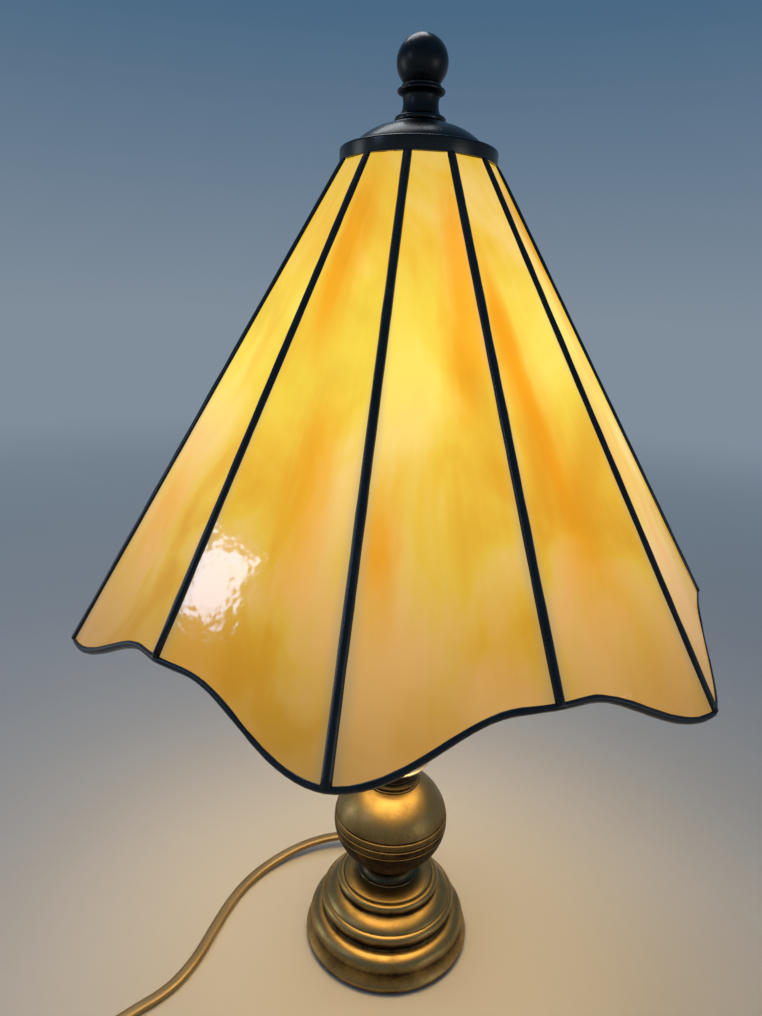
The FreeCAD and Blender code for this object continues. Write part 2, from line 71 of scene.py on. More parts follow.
camera_data = bpy.data.cameras.new("camera")
camera_data.lens = camera_lens
camera_data.sensor_width = 36            # mm, as the lens is
camera_data.clip_start = 0.01
camera = bpy.data.objects.new("camera", camera_data)
scene.collection.objects.link(camera)
camera.matrix_world = (
    Matrix.Translation((0, -camera_distance, camera_height))
    @ Matrix.Rotation(math.radians(-camera_heading), 4, "Z")
    @ Matrix.Rotation(math.radians(90 + camera_pitch), 4, "X")
    @ Matrix.Rotation(math.radians(camera_roll), 4, "Z")
)
scene.camera = camera
scene.view_settings.view_transform = "Standard"


def add(tree, kind, inputs=None, **settings):
    """A new node; each input is a plain value or another node's output."""
    made = tree.nodes.new("ShaderNode" + kind)
    for name, value in settings.items():
        setattr(made, name, value)
    for name, value in (inputs or {}).items():
        if isinstance(value, bpy.types.NodeSocket):
            tree.links.new(value, made.inputs[name])
        else:
            made.inputs[name].default_value = value
    return made


def cloudy(tree, where, scale, detail, **more):
    """Height of a noise texture at a place, from 0 to 1."""
    return add(tree, "TexNoise", {"Vector": where, "Scale": scale, "Detail": detail, **more}).outputs["Fac"]


def remap(tree, value, start, end, low=0.0, high=1.0, **settings):
    """The value's way from start to end, as low to high, held at both ends."""
    limits = {"From Min": start, "From Max": end, "To Min": low, "To Max": high}
    return add(tree, "MapRange", {"Value": value, **limits}, **settings).outputs["Result"]


def ramp(tree, value, *stops):
    """Colour that runs through its (position, colour) stops as the value rises."""
    made = add(tree, "ValToRGB", {"Fac": value})
    elements = made.color_ramp.elements
    for position, _ in stops[1:-1]:
        elements.new(position)
    for element, (position, colour) in zip(elements, stops):
        element.position = position
        element.color = colour
    return made.outputs["Color"]


def new_material(name, **plain):
    """A material with its shader's plain values set, as (material, tree, shader)."""
    made = bpy.data.materials.new(name)
    made.use_nodes = True
    shader = made.node_tree.nodes["Principled BSDF"]
    for socket, value in plain.items():
        shader.inputs[socket.replace("_", " ").title().replace("Ior", "IOR")].default_value = value
    return made, made.node_tree, shader


def linked(bm, name, material):
    """The finished mesh as an object at the origin, smooth but for its hard edges."""
    for face in bm.faces:
        face.smooth = True
    mesh = bpy.data.meshes.new(name)
    bm.to_mesh(mesh)
    bm.free()
    mesh.set_sharp_from_angle(angle=math.radians(42))
    mesh.materials.append(material)
    made = bpy.data.objects.new(name, mesh)
    scene.collection.objects.link(made)
    return made


floor_paint, tree, shader = new_material("floor_paint", roughness=0.6)
where = add(tree, "TexCoord").outputs["Object"]
mottle = cloudy(tree, where, 3.0, 4.0)
shade_of_floor = ramp(tree, mottle, (0, (0.43, 0.43, 0.43, 1)), (1, (0.50, 0.49, 0.48, 1)))
tree.links.new(shade_of_floor, shader.inputs["Base Color"])
outward = add(tree, "VectorMath", {0: where}, operation="LENGTH").outputs["Value"]
clear_to = 0.45              # metres from the lamp at which the floor starts to fade out
faded = remap(tree, outward, clear_to, 2.2, 1.0, 0.0, interpolation_type="SMOOTHSTEP")
tree.links.new(faded, shader.inputs["Alpha"])
floor_reach = 2.3
floor_drop = Matrix.Translation((0, 0, -0.02 * MM))
bm = bmesh.new()
bmesh.ops.create_grid(bm, x_segments=1, y_segments=1, size=floor_reach, matrix=floor_drop)
linked(bm, "floor", floor_paint)

world = bpy.data.worlds.new("studio")
world.use_nodes = True
sky = world.node_tree
lift = add(sky, "SeparateXYZ", {"Vector": add(sky, "TexCoord").outputs["Generated"]}).outputs["Z"]
backdrop = ramp(sky, lift, (0, (0.27, 0.335, 0.41, 1)), (0.34, (0.085, 0.175, 0.29, 1)))
sky.links.new(backdrop, sky.nodes["Background"].inputs["Color"])
sky.nodes["Background"].inputs["Strength"].default_value = 0.8
scene.world = world


def area_light(name, place, aim, width, height, power, colour):
    """A soft rectangle of light of this many watts that faces its aim."""
    data = bpy.data.lights.new(name, "AREA")
    data.shape = "RECTANGLE"
    data.size = width
    data.size_y = height
    data.energy = power
    data.color = colour
    made = bpy.data.objects.new(name, data)
    scene.collection.objects.link(made)
    place = Vector(place)
    turn = (Vector(aim) - place).to_track_quat("-Z", "Y").to_matrix().to_4x4()
    made.matrix_world = Matrix.Translation(place) @ turn
    return made


middle = (cad_low + cad_high) / 2
area_light("overhead", (-0.3, 0.8, 1.9), middle, 1.0, 1.0, 10, (0.95, 0.97, 1.0))
area_light("left_side", (-1.7, 0.1, 0.35), middle, 0.5, 0.9, 3.0, (0.85, 0.93, 1.0))
area_light("right_side", (1.6, -0.9, 0.20), middle, 0.7, 0.6, 2.0, (1.0, 0.97, 0.93))
mirrored_spot = (-0.0545, -0.103, 0.252)     # the place on the front left panel that shows the window
area_light("window", (-0.795, -0.476, 0.657), mirrored_spot, 0.085, 0.125, 0.50, (0.52, 0.66, 1.0))


# Felt pad: a disc of dark felt glued under the foot, so that the brass edge doesn't scratch
# the table and the lamp doesn't slide.
def arc_points(start, middle_point, end, count):
    """Points after start, round the circle through three points."""
    (ax, ay), (bx, by), (cx, cy) = start, middle_point, end
    d = 2 * (ax * (by - cy) + bx * (cy - ay) + cx * (ay - by))
    a2, b2, c2 = ax * ax + ay * ay, bx * bx + by * by, cx * cx + cy * cy
    ux = (a2 * (by - cy) + b2 * (cy - ay) + c2 * (ay - by)) / d
    uy = (a2 * (cx - bx) + b2 * (ax - cx) + c2 * (bx - ax)) / d
    radius = math.hypot(ax - ux, ay - uy)
    first = math.atan2(ay - uy, ax - ux)
    clockwise = (bx - ax) * (cy - ay) - (by - ay) * (cx - ax) < 0
    sweep = (math.atan2(cy - uy, cx - ux) - first) % math.tau
    if clockwise:
        sweep -= math.tau
    turns = [first + sweep * k / count for k in range(1, count + 1)]
    return [(ux + radius * math.cos(turn), uy + radius * math.sin(turn)) for turn in turns]


def half_section(steps, arc_count=9):
    """(r, z) is a straight run, (mr, mz, r, z) an arc through (mr, mz)."""
    points = [steps[0]]
    for step in steps[1:]:
        if len(step) == 4:
            points += arc_points(points[-1], step[:2], step[2:], arc_count)
        else:
            points.append(step)
    return points


def spun(node, points, soften=0.25, rounds=128, centre=(0.0, 0.0)):
    """The half section spun into a closed solid; it is in mm, and z starts at the CAD node's foot."""
    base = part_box(node)[0].z
    bm = bmesh.new()
    corners = [bm.verts.new((r * MM, 0, base + z * MM)) for r, z in points]
    bm.faces.new(corners)
    hard = []
    for before, here, after in zip(corners[-1:] + corners[:-1], corners, corners[1:] + corners[:1]):
        if here.co.x > 1e-7 and (here.co - before.co).angle(after.co - here.co) > math.radians(25):
            hard.append(here)
    bmesh.ops.bevel(bm, geom=hard, offset=soften * MM, offset_type="OFFSET", segments=3, profile=0.5,
                    affect="VERTICES", clamp_overlap=True, material=-1)
    bmesh.ops.delete(bm, geom=bm.faces[:], context="FACES_ONLY")
    on_axis = [e for e in bm.edges if all(v.co.x < 1e-7 for v in e.verts)]
    bmesh.ops.delete(bm, geom=on_axis, context="EDGES")
    bmesh.ops.spin(bm, geom=bm.verts[:] + bm.edges[:], cent=(0, 0, 0), axis=(0, 0, 1), dvec=(0, 0, 0),
                   angle=math.tau, steps=rounds, use_merge=True, use_duplicate=False)
    bmesh.ops.remove_doubles(bm, verts=bm.verts[:], dist=1e-6)
    bmesh.ops.translate(bm, verts=bm.verts[:], vec=(centre[0], centre[1], 0))
    bmesh.ops.recalc_face_normals(bm, faces=bm.faces[:])
    return bm


def fixed(made, body, slot, *nodes):
    """The piece rides on its body and stands for its CAD nodes, which it hides; slot is not used."""
    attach(made, body)
    if nodes:
        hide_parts(*nodes)
    return made


def dress(node, material):
    """A CAD node that is shown as it is, in this material."""
    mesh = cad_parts[node].data
    mesh.materials.clear()
    mesh.materials.append(material)


def grain(tree, shader, height, strength, depth):
    """Fine relief from a height value, on the shader's normal."""
    bump = add(tree, "Bump", {"Height": height, "Strength": strength, "Distance": depth})
    tree.links.new(bump.outputs["Normal"], shader.inputs["Normal"])


felt, tree, shader = new_material("felt", roughness=0.95, sheen_weight=0.4, sheen_roughness=0.6)
where = add(tree, "TexCoord").outputs["Object"]
fibres = cloudy(tree, where, 1800.0, 3.0, Distortion=1.5)
felt_colour = ramp(tree, fibres, (0, (0.010, 0.009, 0.008, 1)), (1, (0.045, 0.040, 0.032, 1)))
tree.links.new(felt_colour, shader.inputs["Base Color"])
grain(tree, shader, fibres, 0.5, 0.3 * MM)
pad = spun("felt_pad", [(0, 0), (43.8, 0), (43.8, 1.4), (0, 1.4)], soften=0.4)
fixed(linked(pad, "felt_pad_disc", felt), "base", "felt", "felt_pad")


# Foot: a spun brass shell in three rounded steps. It has aged to brown in the hollows, and
# the shoulders that hands and dusters reach stay golden, with fine turning marks all round.
def mark_hollows(bm, reach=3 * MM, passes=3):
    """Writes how hollow the surface is at each vertex, -1 on an edge to 1 in a cove."""
    layer = bm.verts.layers.float.new("hollow")
    bm.normal_update()
    level = {}
    for v in bm.verts:
        bends = []
        for edge in v.link_edges:
            away = edge.other_vert(v).co - v.co
            bends.append(2 * away.dot(v.normal) / max(away.length_squared, 1e-10))
        level[v] = math.tanh(reach * sum(bends) / max(len(bends), 1))
    for _ in range(passes):
        around = {v: [level[e.other_vert(v)] for e in v.link_edges] or [level[v]] for v in bm.verts}
        level = {v: 0.4 * level[v] + 0.6 * sum(around[v]) / len(around[v]) for v in bm.verts}
    for v in bm.verts:
        v[layer] = level[v]
    return bm


def calc(tree, operation, *values, **settings):
    """The result of one sum on plain values or other nodes' outputs."""
    return add(tree, "Math", dict(enumerate(values)), operation=operation, **settings).outputs[0]


def blend(tree, factor, first, second):
    """The first colour at 0, the second at 1."""
    first_socket, second_socket, result = 6, 7, 2
    mix = add(tree, "Mix", {"Factor": factor, first_socket: first, second_socket: second}, data_type="RGBA")
    return mix.outputs[result]


def new_group(name, inputs, outputs):
    """A shader node group; inputs are (name, kind, start value), outputs (name, kind)."""
    group = bpy.data.node_groups.new(name, "ShaderNodeTree")
    for socket, kind, start in inputs:
        made = group.interface.new_socket(socket, in_out="INPUT", socket_type="NodeSocket" + kind)
        made.default_value = start
    for socket, kind in outputs:
        group.interface.new_socket(socket, in_out="OUTPUT", socket_type="NodeSocket" + kind)
    entry = group.nodes.new("NodeGroupInput").outputs
    leave = group.nodes.new("NodeGroupOutput").inputs
    return group, entry, leave


def use(tree, group, **values):
    """Places a group in a material with its own values."""
    made = tree.nodes.new("ShaderNodeGroup")
    made.node_tree = group
    for name, value in values.items():
        socket = made.inputs[name.replace("_", " ").capitalize()]
        if isinstance(value, bpy.types.NodeSocket):
            tree.links.new(value, socket)
        else:
            socket.default_value = value
    return made.outputs


# Aged metal: golden on shoulders, brown in hollows, speckled and rubbed, and darker on undersides as
# painted shade.
aged_and_shaded, entry, leave = new_group(
    "aged_metal_and_painted_shade",
    [("Bright", "Color", (0.5, 0.3, 0.1, 1)), ("Dull", "Color", (0.1, 0.05, 0.02, 1)),
     ("Hollows", "Float", 1.0), ("Undersides", "Float", 0.5), ("Polish", "Float", 0.3)],
    [("Color", "Color"), ("Roughness", "Float"), ("Height", "Float")],
)
where = add(aged_and_shaded, "TexCoord").outputs["Object"]
hollow = add(aged_and_shaded, "Attribute", attribute_name="hollow").outputs["Fac"]
facing = add(aged_and_shaded, "SeparateXYZ", {"Vector": add(aged_and_shaded, "NewGeometry").outputs["Normal"]}).outputs["Z"]
# Painted shade: faces that turn downwards are darkened, as far as the underside value asks.
under = remap(aged_and_shaded, facing, 0.55, -0.15)
clouds = cloudy(aged_and_shaded, where, 85.0, 6.0, Roughness=0.62)
flecks = cloudy(aged_and_shaded, where, 900.0, 3.0, Roughness=0.7)
deep = remap(aged_and_shaded, hollow, 0.12, 0.75)
deep = calc(aged_and_shaded, "MULTIPLY", deep, entry["Hollows"])
painted_underside_shade = calc(aged_and_shaded, "MULTIPLY", under, entry["Undersides"])
tarnish_and_shade = calc(aged_and_shaded, "ADD", deep, painted_underside_shade, use_clamp=True)
patches = remap(aged_and_shaded, clouds, 0.36, 0.68, -0.16, 0.26)
tarnish_and_shade = calc(aged_and_shaded, "ADD", tarnish_and_shade, patches)
rubbed = remap(aged_and_shaded, hollow, -0.25, -0.8, 0, 0.55)
tarnish_and_shade = calc(aged_and_shaded, "SUBTRACT", tarnish_and_shade, rubbed)
speckle = remap(aged_and_shaded, flecks, 0.56, 0.74, 0, 0.35)
tarnish_and_shade = calc(aged_and_shaded, "ADD", tarnish_and_shade, speckle, use_clamp=True)
colour = blend(aged_and_shaded, tarnish_and_shade, entry["Bright"], entry["Dull"])
aged_and_shaded.links.new(colour, leave["Color"])
dulled = remap(aged_and_shaded, tarnish_and_shade, 0, 1, 0.0, 0.28)
rough = calc(aged_and_shaded, "ADD", dulled, entry["Polish"])
smears = remap(aged_and_shaded, clouds, 0, 1, -0.06, 0.10)
rough = calc(aged_and_shaded, "ADD", rough, smears, use_clamp=True)
aged_and_shaded.links.new(rough, leave["Roughness"])
flat_way = add(aged_and_shaded, "VectorMath", {0: where, 1: (1, 1, 0)}, operation="MULTIPLY").outputs[0]
radius = add(aged_and_shaded, "VectorMath", {0: flat_way}, operation="LENGTH").outputs["Value"]
height = add(aged_and_shaded, "SeparateXYZ", {"Vector": where}).outputs["Z"]
lathe_way = add(aged_and_shaded, "CombineXYZ", {"X": radius, "Y": height}).outputs[0]
lathe = cloudy(aged_and_shaded, lathe_way, 2600.0, 2.0)
marks = calc(aged_and_shaded, "MULTIPLY_ADD", flecks, 0.6, lathe)
aged_and_shaded.links.new(marks, leave["Height"])


def metal(name, bright, dull, polish, hollows=1.0, undersides=0.5, marks=0.25, **plain):
    """A turned metal: colour and roughness from the aged metal group, with painted shade on its undersides,
    its marks as fine relief.
    """
    made, tree, shader = new_material(name, metallic=1.0, **plain)
    look = use(tree, aged_and_shaded, bright=bright, dull=dull, polish=polish, hollows=hollows, undersides=undersides)
    tree.links.new(look["Color"], shader.inputs["Base Color"])
    tree.links.new(look["Roughness"], shader.inputs["Roughness"])
    grain(tree, shader, look["Height"], marks, 0.08 * MM)
    return made


# Painted shade: the foot and ball take the full darkening on their undersides, for the shade under each
# step and the ball's lower half.
brass = metal("aged_brass_and_painted_shade", (0.36, 0.25, 0.095, 1), (0.030, 0.019, 0.009, 1), 0.36, hollows=0.8,
              undersides=1.0)
foot_outside = [
    (42.4, 0), (44.1, 0), (45.2, 1.8, 44.6, 3.6), (43.3, 6.6, 43.0, 10.8), (40.9, 14.9, 36.0, 17.0),
    (35.2, 18.3, 35.6, 20.0), (36.9, 23.0, 34.6, 25.9), (34.2, 25.7), (33.9, 26.4),
    (31.2, 28.9, 27.7, 30.5), (26.8, 31.3, 27.0, 32.3), (28.0, 34.8, 24.9, 37.2), (24.5, 37.0),
    (24.2, 37.5), (20.8, 38.7, 17.2, 39.2), (4.95, 39.2),
]
foot_inside = [
    (4.95, 37.6), (15.6, 37.6), (20.2, 35.8), (24.0, 34.8), (25.2, 32.4), (25.3, 29.0), (31.4, 26.8),
    (33.4, 24.0), (33.9, 19.6), (34.0, 15.8), (39.2, 13.4), (41.2, 10.6),
]
foot = mark_hollows(spun("foot_shell", half_section(foot_outside + foot_inside), soften=0.12, rounds=160))
fixed(linked(foot, "foot", brass), "base", "antique_brass", "foot_shell")


# Inside the foot: a cast iron weight, and the steel washer and nut that pull the whole stem
# together on its threaded pipe. They are plain stock parts, rough cast or zinc plated.
cast_iron = metal("cast_iron", (0.10, 0.095, 0.09, 1), (0.05, 0.03, 0.022, 1), 0.55, marks=0.6)
zinc = metal("zinc_plate", (0.55, 0.56, 0.58, 1), (0.28, 0.28, 0.27, 1), 0.32)
pipe_brass = metal("pipe_brass", (0.60, 0.43, 0.19, 1), (0.25, 0.15, 0.06, 1), 0.30)
dress("iron_weight", cast_iron)
dress("base_washer", zinc)
dress("base_nut", zinc)
dress("threaded_pipe", pipe_brass)


# Stem: a waisted neck, a hollow ball with three fine grooves, a collar, a short tube and the shallow cup
# that the lampholder stands in. Each is turned brass, stacked on the pipe. The neck, collar and tube
# are coloured darker as painted shade, and the cup paler as painted light.
neck_outline = [
    (4.95, 0), (16.6, 0), (16.9, 0.6, 16.2, 1.3), (13.6, 4.8, 15.6, 8.6), (16.6, 9.4, 16.4, 10.26),
    (14.6, 10.66), (4.95, 10.66),
]
# Painted shade: a darker copy of the brass for the neck and the collar, which sit in shade below the ball
# and the cup.
shaded_brass = metal("brass_in_painted_shade", (0.16, 0.12, 0.06, 1), (0.030, 0.020, 0.012, 1), 0.24, hollows=0.9,
                    undersides=1.0)
neck = mark_hollows(spun("neck", half_section(neck_outline)))
fixed(linked(neck, "neck_turned", shaded_brass), "base", "antique_brass", "neck")

ball_radius = 30.6
ball_half_height = 27.0
ball_middle = 22.74          # above the ball's lower opening
ball_top = 23.87             # above its middle
ball_wall = 1.6
groove_heights = (19.74, 24.04, 28.04)
groove_half_width = 0.62
groove_depth = 0.50
groove_clear = groove_half_width + 0.1
ball_outside = []
ring_count = 90
lower_turn = -math.asin(ball_middle / ball_half_height)
upper_turn = math.asin(ball_top / ball_half_height)
for k in range(ring_count + 1):
    turn = lower_turn + (upper_turn - lower_turn) * k / ring_count
    z = ball_middle + ball_half_height * math.sin(turn)
    if min(abs(z - groove) for groove in groove_heights) > groove_clear:
        ball_outside.append((ball_radius * math.cos(turn), z))
for groove in groove_heights:
    for part in (-1.0, -0.9, -0.6, 0.0, 0.6, 0.9, 1.0):
        z = groove + part * groove_half_width
        full = ball_radius * math.sqrt(1 - ((z - ball_middle) / ball_half_height) ** 2)
        ball_outside.append((full - groove_depth * math.sqrt(1 - part * part), z))
ball_outside.sort(key=lambda point: point[1])
ball_opening = 12.0
ball_inside = [(max(r - ball_wall, ball_opening), z) for r, z in ball_outside[::6]]
ball = mark_hollows(spun("ball", ball_outside + ball_inside[::-1], soften=0.1), passes=2)
fixed(linked(ball, "ball_turned", brass), "base", "antique_brass", "ball")

collar_outline = [
    (4.95, 0), (14.3, 0), (15.0, 0.53, 14.4, 1.13), (12.6, 2.03, 12.2, 4.53), (4.95, 4.53),
]
collar = mark_hollows(spun("ball_collar", half_section(collar_outline)))
fixed(linked(collar, "ball_collar_turned", shaded_brass), "base", "antique_brass", "ball_collar")

# Painted shade: the short tube under the cup is coloured near black for the shadow it sits in.
painted_shade_black = metal("near_black_brass", (0.035, 0.026, 0.018, 1), (0.012, 0.009, 0.007, 1), 0.35)
tube = spun("dark_tube", [(4.95, 0), (12.0, 0), (12.0, 7.8), (4.95, 7.8)])
fixed(linked(mark_hollows(tube), "dark_tube_turned", painted_shade_black), "base", "antique_brass", "dark_tube")

# Painted light: a paler copy of the brass, lighter for the bulb's light falling on the cup.
cup_brass_painted_light = metal("cup_brass_painted_light", (0.95, 0.80, 0.50, 1), (0.30, 0.20, 0.09, 1), 0.34, hollows=0.2,
                  undersides=0.3)
cup_outline = [
    (4.95, 0), (13.4, 0), (16.4, 0.1, 18.5, 0.7), (19.4, 1.1, 18.9, 1.8), (16.2, 6.6, 11.0, 11.3),
    (4.95, 11.3),
]
cup = mark_hollows(spun("cup", half_section(cup_outline)))
fixed(linked(cup, "cup_turned", cup_brass_painted_light), "base", "antique_brass", "cup")


# Lampholder: a pressed brass cap and shell round an insulated screw socket, with a fluted
# turn key at the back. The cap and shell are bright lacquered brass.
lacquered = metal("lacquered_brass", (0.72, 0.52, 0.22, 1), (0.35, 0.21, 0.07, 1), 0.20, hollows=0.5,
                  undersides=0.2, coat_weight=0.3, coat_roughness=0.15)
holder_cap_outline = [
    (4.95, 0), (9.0, 0), (15.6, 3.1, 18.3, 10.7), (18.6, 16.7), (17.4, 16.7), (17.1, 11.1),
    (14.8, 4.5, 8.8, 1.6), (4.95, 1.6),
]
holder_cap = mark_hollows(spun("holder_cap", half_section(holder_cap_outline)))
fixed(linked(holder_cap, "holder_cap_pressed", lacquered), "base", "lamp_brass", "holder_cap")
holder_shell_outline = [
    (16.5, 0), (17.05, 0), (17.05, 3.4), (17.5, 4.0), (17.5, 38.4), (17.9, 40.4, 18.6, 42.4),
    (18.9, 43.8, 18.4, 46.4), (17.6, 46.4), (17.3, 42.6), (16.5, 38.9),
]
holder_shell = mark_hollows(spun("holder_shell", half_section(holder_shell_outline)))
fixed(linked(holder_shell, "holder_shell_pressed", lacquered), "base", "lamp_brass", "holder_shell")


def plain_finish(name, dark, light, roughness, scale):
    """A non-metal with a mottled colour and a fine matching bump."""
    made, tree, shader = new_material(name, roughness=roughness)
    where = add(tree, "TexCoord").outputs["Object"]
    mottle = cloudy(tree, where, scale, 5.0, Roughness=0.6)
    tree.links.new(ramp(tree, mottle, (0.3, dark), (0.7, light)), shader.inputs["Base Color"])
    grain(tree, shader, mottle, 0.4, 0.05 * MM)
    return made


phenolic = plain_finish("phenolic", (0.012, 0.010, 0.009, 1), (0.030, 0.024, 0.020, 1), 0.4, 700.0)
fibre = plain_finish("fibre_liner", (0.22, 0.17, 0.11, 1), (0.34, 0.27, 0.18, 1), 0.85, 900.0)
contact = metal("contact_brass", (0.70, 0.50, 0.20, 1), (0.40, 0.25, 0.09, 1), 0.28)
dress("holder_body", phenolic)
dress("shell_liner", fibre)
dress("centre_contact", contact)
screw_points = [(13.55, 0), (14.2, 0), (14.2, 23.0), (13.55, 23.0)]
fixed(linked(mark_hollows(spun("screw_shell", screw_points, soften=0.15)), "screw_shell_rolled", contact),
      "base", "contact_brass", "screw_shell")


def merged_copy(node, flat_within=None):
    """The CAD node's triangles joined up, and joined into flat faces where asked, in degrees."""
    bm = bmesh.new()
    bm.from_mesh(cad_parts[node].data)
    bmesh.ops.remove_doubles(bm, verts=bm.verts[:], dist=2e-6)
    if flat_within:
        bmesh.ops.dissolve_limit(bm, angle_limit=math.radians(flat_within), use_dissolve_boundaries=False,
                                 verts=bm.verts[:], edges=bm.edges[:], delimit=set())
    return bm


def softened_copy(node, width):
    """A merged copy of the CAD node's mesh with its hard edges bevelled."""
    bm = merged_copy(node, flat_within=2)
    hard = [e for e in bm.edges if len(e.link_faces) == 2 and e.calc_face_angle() > math.radians(30)]
    bmesh.ops.bevel(bm, geom=hard, offset=width, offset_type="OFFSET", segments=2, profile=0.5,
                    affect="EDGES", clamp_overlap=True, material=-1)
    return bm


key_plastic = plain_finish("key_plastic", (0.010, 0.009, 0.008, 1), (0.022, 0.020, 0.018, 1), 0.35, 1200.0)
turn_key = linked(softened_copy("switch_key", 0.25 * MM), "turn_key", key_plastic)
fixed(turn_key, "key", "key_plastic", "switch_key")


# Bulb: a round frosted bulb screwed into the socket, its cap in nickelled metal with a rolled
# thread. It is lit: the frosted glass glows, and a light stands in the middle of the bulb.
nickel = metal("nickelled_cap", (0.62, 0.60, 0.56, 1), (0.35, 0.33, 0.30, 1), 0.24)
bulb_low, bulb_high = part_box("bulb_glass")
bulb_cap_outline = [(4.6, 0), (9.0, 0), (12.4, 1.6)]
thread_pitch = 3.24
for k in range(6):
    thread_foot = 1.6 + k * thread_pitch
    bulb_cap_outline.append((13.2, thread_foot + thread_pitch / 2, 12.4, thread_foot + thread_pitch))
bulb_cap_outline += [(12.4, 23.2), (11.4, 23.2), (11.4, 2.4), (4.6, 1.0)]
fixed(linked(mark_hollows(spun("bulb_cap", half_section(bulb_cap_outline))), "bulb_cap_rolled", nickel),
      "bulb", "bulb_metal", "bulb_cap")
insulation = plain_finish("bulb_insulation", (0.01, 0.01, 0.012, 1), (0.02, 0.02, 0.024, 1), 0.25, 900.0)
dress("bulb_insulator", insulation)
dress("bulb_eyelet", nickel)

bulb_radius = 30.0
bulb_height = (bulb_high.z - bulb_low.z) / MM
bulb_middle = bulb_height - bulb_radius
flare = math.radians(-30)
crown = math.radians(30)


def envelope_outline(inset):
    """Half section of the bulb's glass, set in from its outside by this much."""
    neck = 13.2 - inset
    wide = bulb_radius - inset
    return half_section([
        (neck, 0), (neck + 0.4, 8),
        (neck + 4.6, 23, wide * math.cos(flare), bulb_middle + wide * math.sin(flare)),
        (wide * math.cos(crown), bulb_middle + wide * math.sin(crown), 0, bulb_middle + wide),
    ], arc_count=20)


frosted, tree, shader = new_material("frosted_glass", roughness=0.45, emission_strength=6.0)
where = add(tree, "TexCoord").outputs["Object"]
frost = cloudy(tree, where, 400.0, 2.0)
bulb_heart = (0, 0, bulb_high.z - bulb_radius * MM)
rise = add(tree, "SeparateXYZ", {"Vector": where}).outputs["Z"]
warm = remap(tree, rise, bulb_low.z, bulb_high.z)
glow = ramp(tree, warm, (0, (0.75, 0.33, 0.08, 1)), (0.45, (1.0, 0.72, 0.36, 1)))
tree.links.new(glow, shader.inputs["Emission Color"])
white = blend(tree, frost, (0.82, 0.80, 0.76, 1), (0.9, 0.88, 0.84, 1))
tree.links.new(white, shader.inputs["Base Color"])
glass_wall = 0.9
bulb_points = envelope_outline(0) + envelope_outline(glass_wall)[::-1]
bulb_shell = linked(spun("bulb_glass", bulb_points, soften=0.2), "bulb_envelope", frosted)
bulb_shell.visible_shadow = False
fixed(bulb_shell, "bulb", "bulb_frosted", "bulb_glass")
stem_glass = plain_finish("stem_glass", (0.5, 0.5, 0.48, 1), (0.6, 0.6, 0.58, 1), 0.1, 300.0)
tungsten = plain_finish("filament_wire", (0.25, 0.22, 0.18, 1), (0.35, 0.30, 0.24, 1), 0.4, 2000.0)
dress("bulb_stem", stem_glass)
dress("bulb_filament", tungsten)

bulb_light = bpy.data.lights.new("bulb_light", "POINT")
bulb_light.energy = 0.9
bulb_light.color = (1.0, 0.78, 0.46)
bulb_light.shadow_soft_size = 45 * MM
bulb_lamp = bpy.data.objects.new("bulb_light", bulb_light)
bulb_lamp.location = bulb_heart
scene.collection.objects.link(bulb_lamp)
shade_mouth = (0, 0, 205 * MM)               # the light that the glass sends down comes through here
inner_glow = area_light("inner_glow", shade_mouth, (0, 0, 0), 0.25, 0.25, 0.50, (1.0, 0.70, 0.32))
inner_glow.data.shape = "DISK"
inner_glow.visible_camera = False


# Harp: a brass saddle clamped under the lampholder, two ferrules that lock a wire bow into
# it, and a threaded stud at the top that carries the shade.
def bent_rod(name, points, radius, material):
    """Round wire along a smooth curve through its control points."""
    curve = bpy.data.curves.new(name, "CURVE")
    curve.dimensions = "3D"
    curve.resolution_u = 10
    curve.bevel_depth = radius
    curve.bevel_resolution = 5
    curve.use_fill_caps = True
    spline = curve.splines.new("NURBS")
    spline.points.add(len(points) - 1)
    for point, place in zip(spline.points, points):
        point.co = (*place, 1)
    spline.order_u = 3
    spline.use_endpoint_u = True
    shape = bpy.data.objects.new(name + "_line", curve)
    mesh = bpy.data.meshes.new_from_object(shape)
    bpy.data.objects.remove(shape)
    bm = bmesh.new()
    bm.from_mesh(mesh)
    return linked(bm, name, material)


saddle = softened_copy("harp_saddle", 0.35 * MM)
fixed(linked(saddle, "harp_saddle_bent", lacquered), "base", "lamp_brass", "harp_saddle")
bow_low, bow_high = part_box("harp_bow")
bow_foot = 26.0
bow_wire = 1.5
bow_rise = (bow_high.z - bow_low.z) / MM - bow_wire
half_bow = [                 # the leg stands straight as far up as its ferrule slides
    (bow_foot, 0.4), (bow_foot, 14.0), (bow_foot, 22.8), (43.0, 49.8), (50.0, 85.8), (51.5, 134.8),
    (48.5, 181.8), (39.0, 223.8), (25.0, 256.8), (9.0, bow_rise),
]
bow_line = [Vector((x * MM, 0, bow_low.z + z * MM)) for x, z in half_bow]
bow_line += [Vector((-p.x, 0, p.z)) for p in reversed(bow_line)]
fixed(bent_rod("harp_bow_wire", bow_line, bow_wire * MM, lacquered), "base", "lamp_brass", "harp_bow")
ferrule_outline = [
    (2.85, 0), (4.0, 0), (4.2, 0.8), (4.2, 5.6), (3.9, 6.2), (3.9, 7.8), (4.2, 8.4), (4.2, 13.2),
    (4.0, 14.0), (2.85, 14.0),
]
for word, side in (("left", -1), ("right", 1)):
    leg = (side * bow_foot * MM, 0)
    ferrule = spun("ferrule_" + word, ferrule_outline, soften=0.15, rounds=48, centre=leg)
    fixed(linked(mark_hollows(ferrule), "ferrule_%s_turned" % word, lacquered),
          word + "_ferrule", "lamp_brass", "ferrule_" + word)
stud_outline = [(0, 0), (4.6, 0), (5.2, 0.6), (5.2, 6.2), (8.4, 6.2), (8.4, 8.1), (3.1, 8.1)]
stud_pitch = 0.8
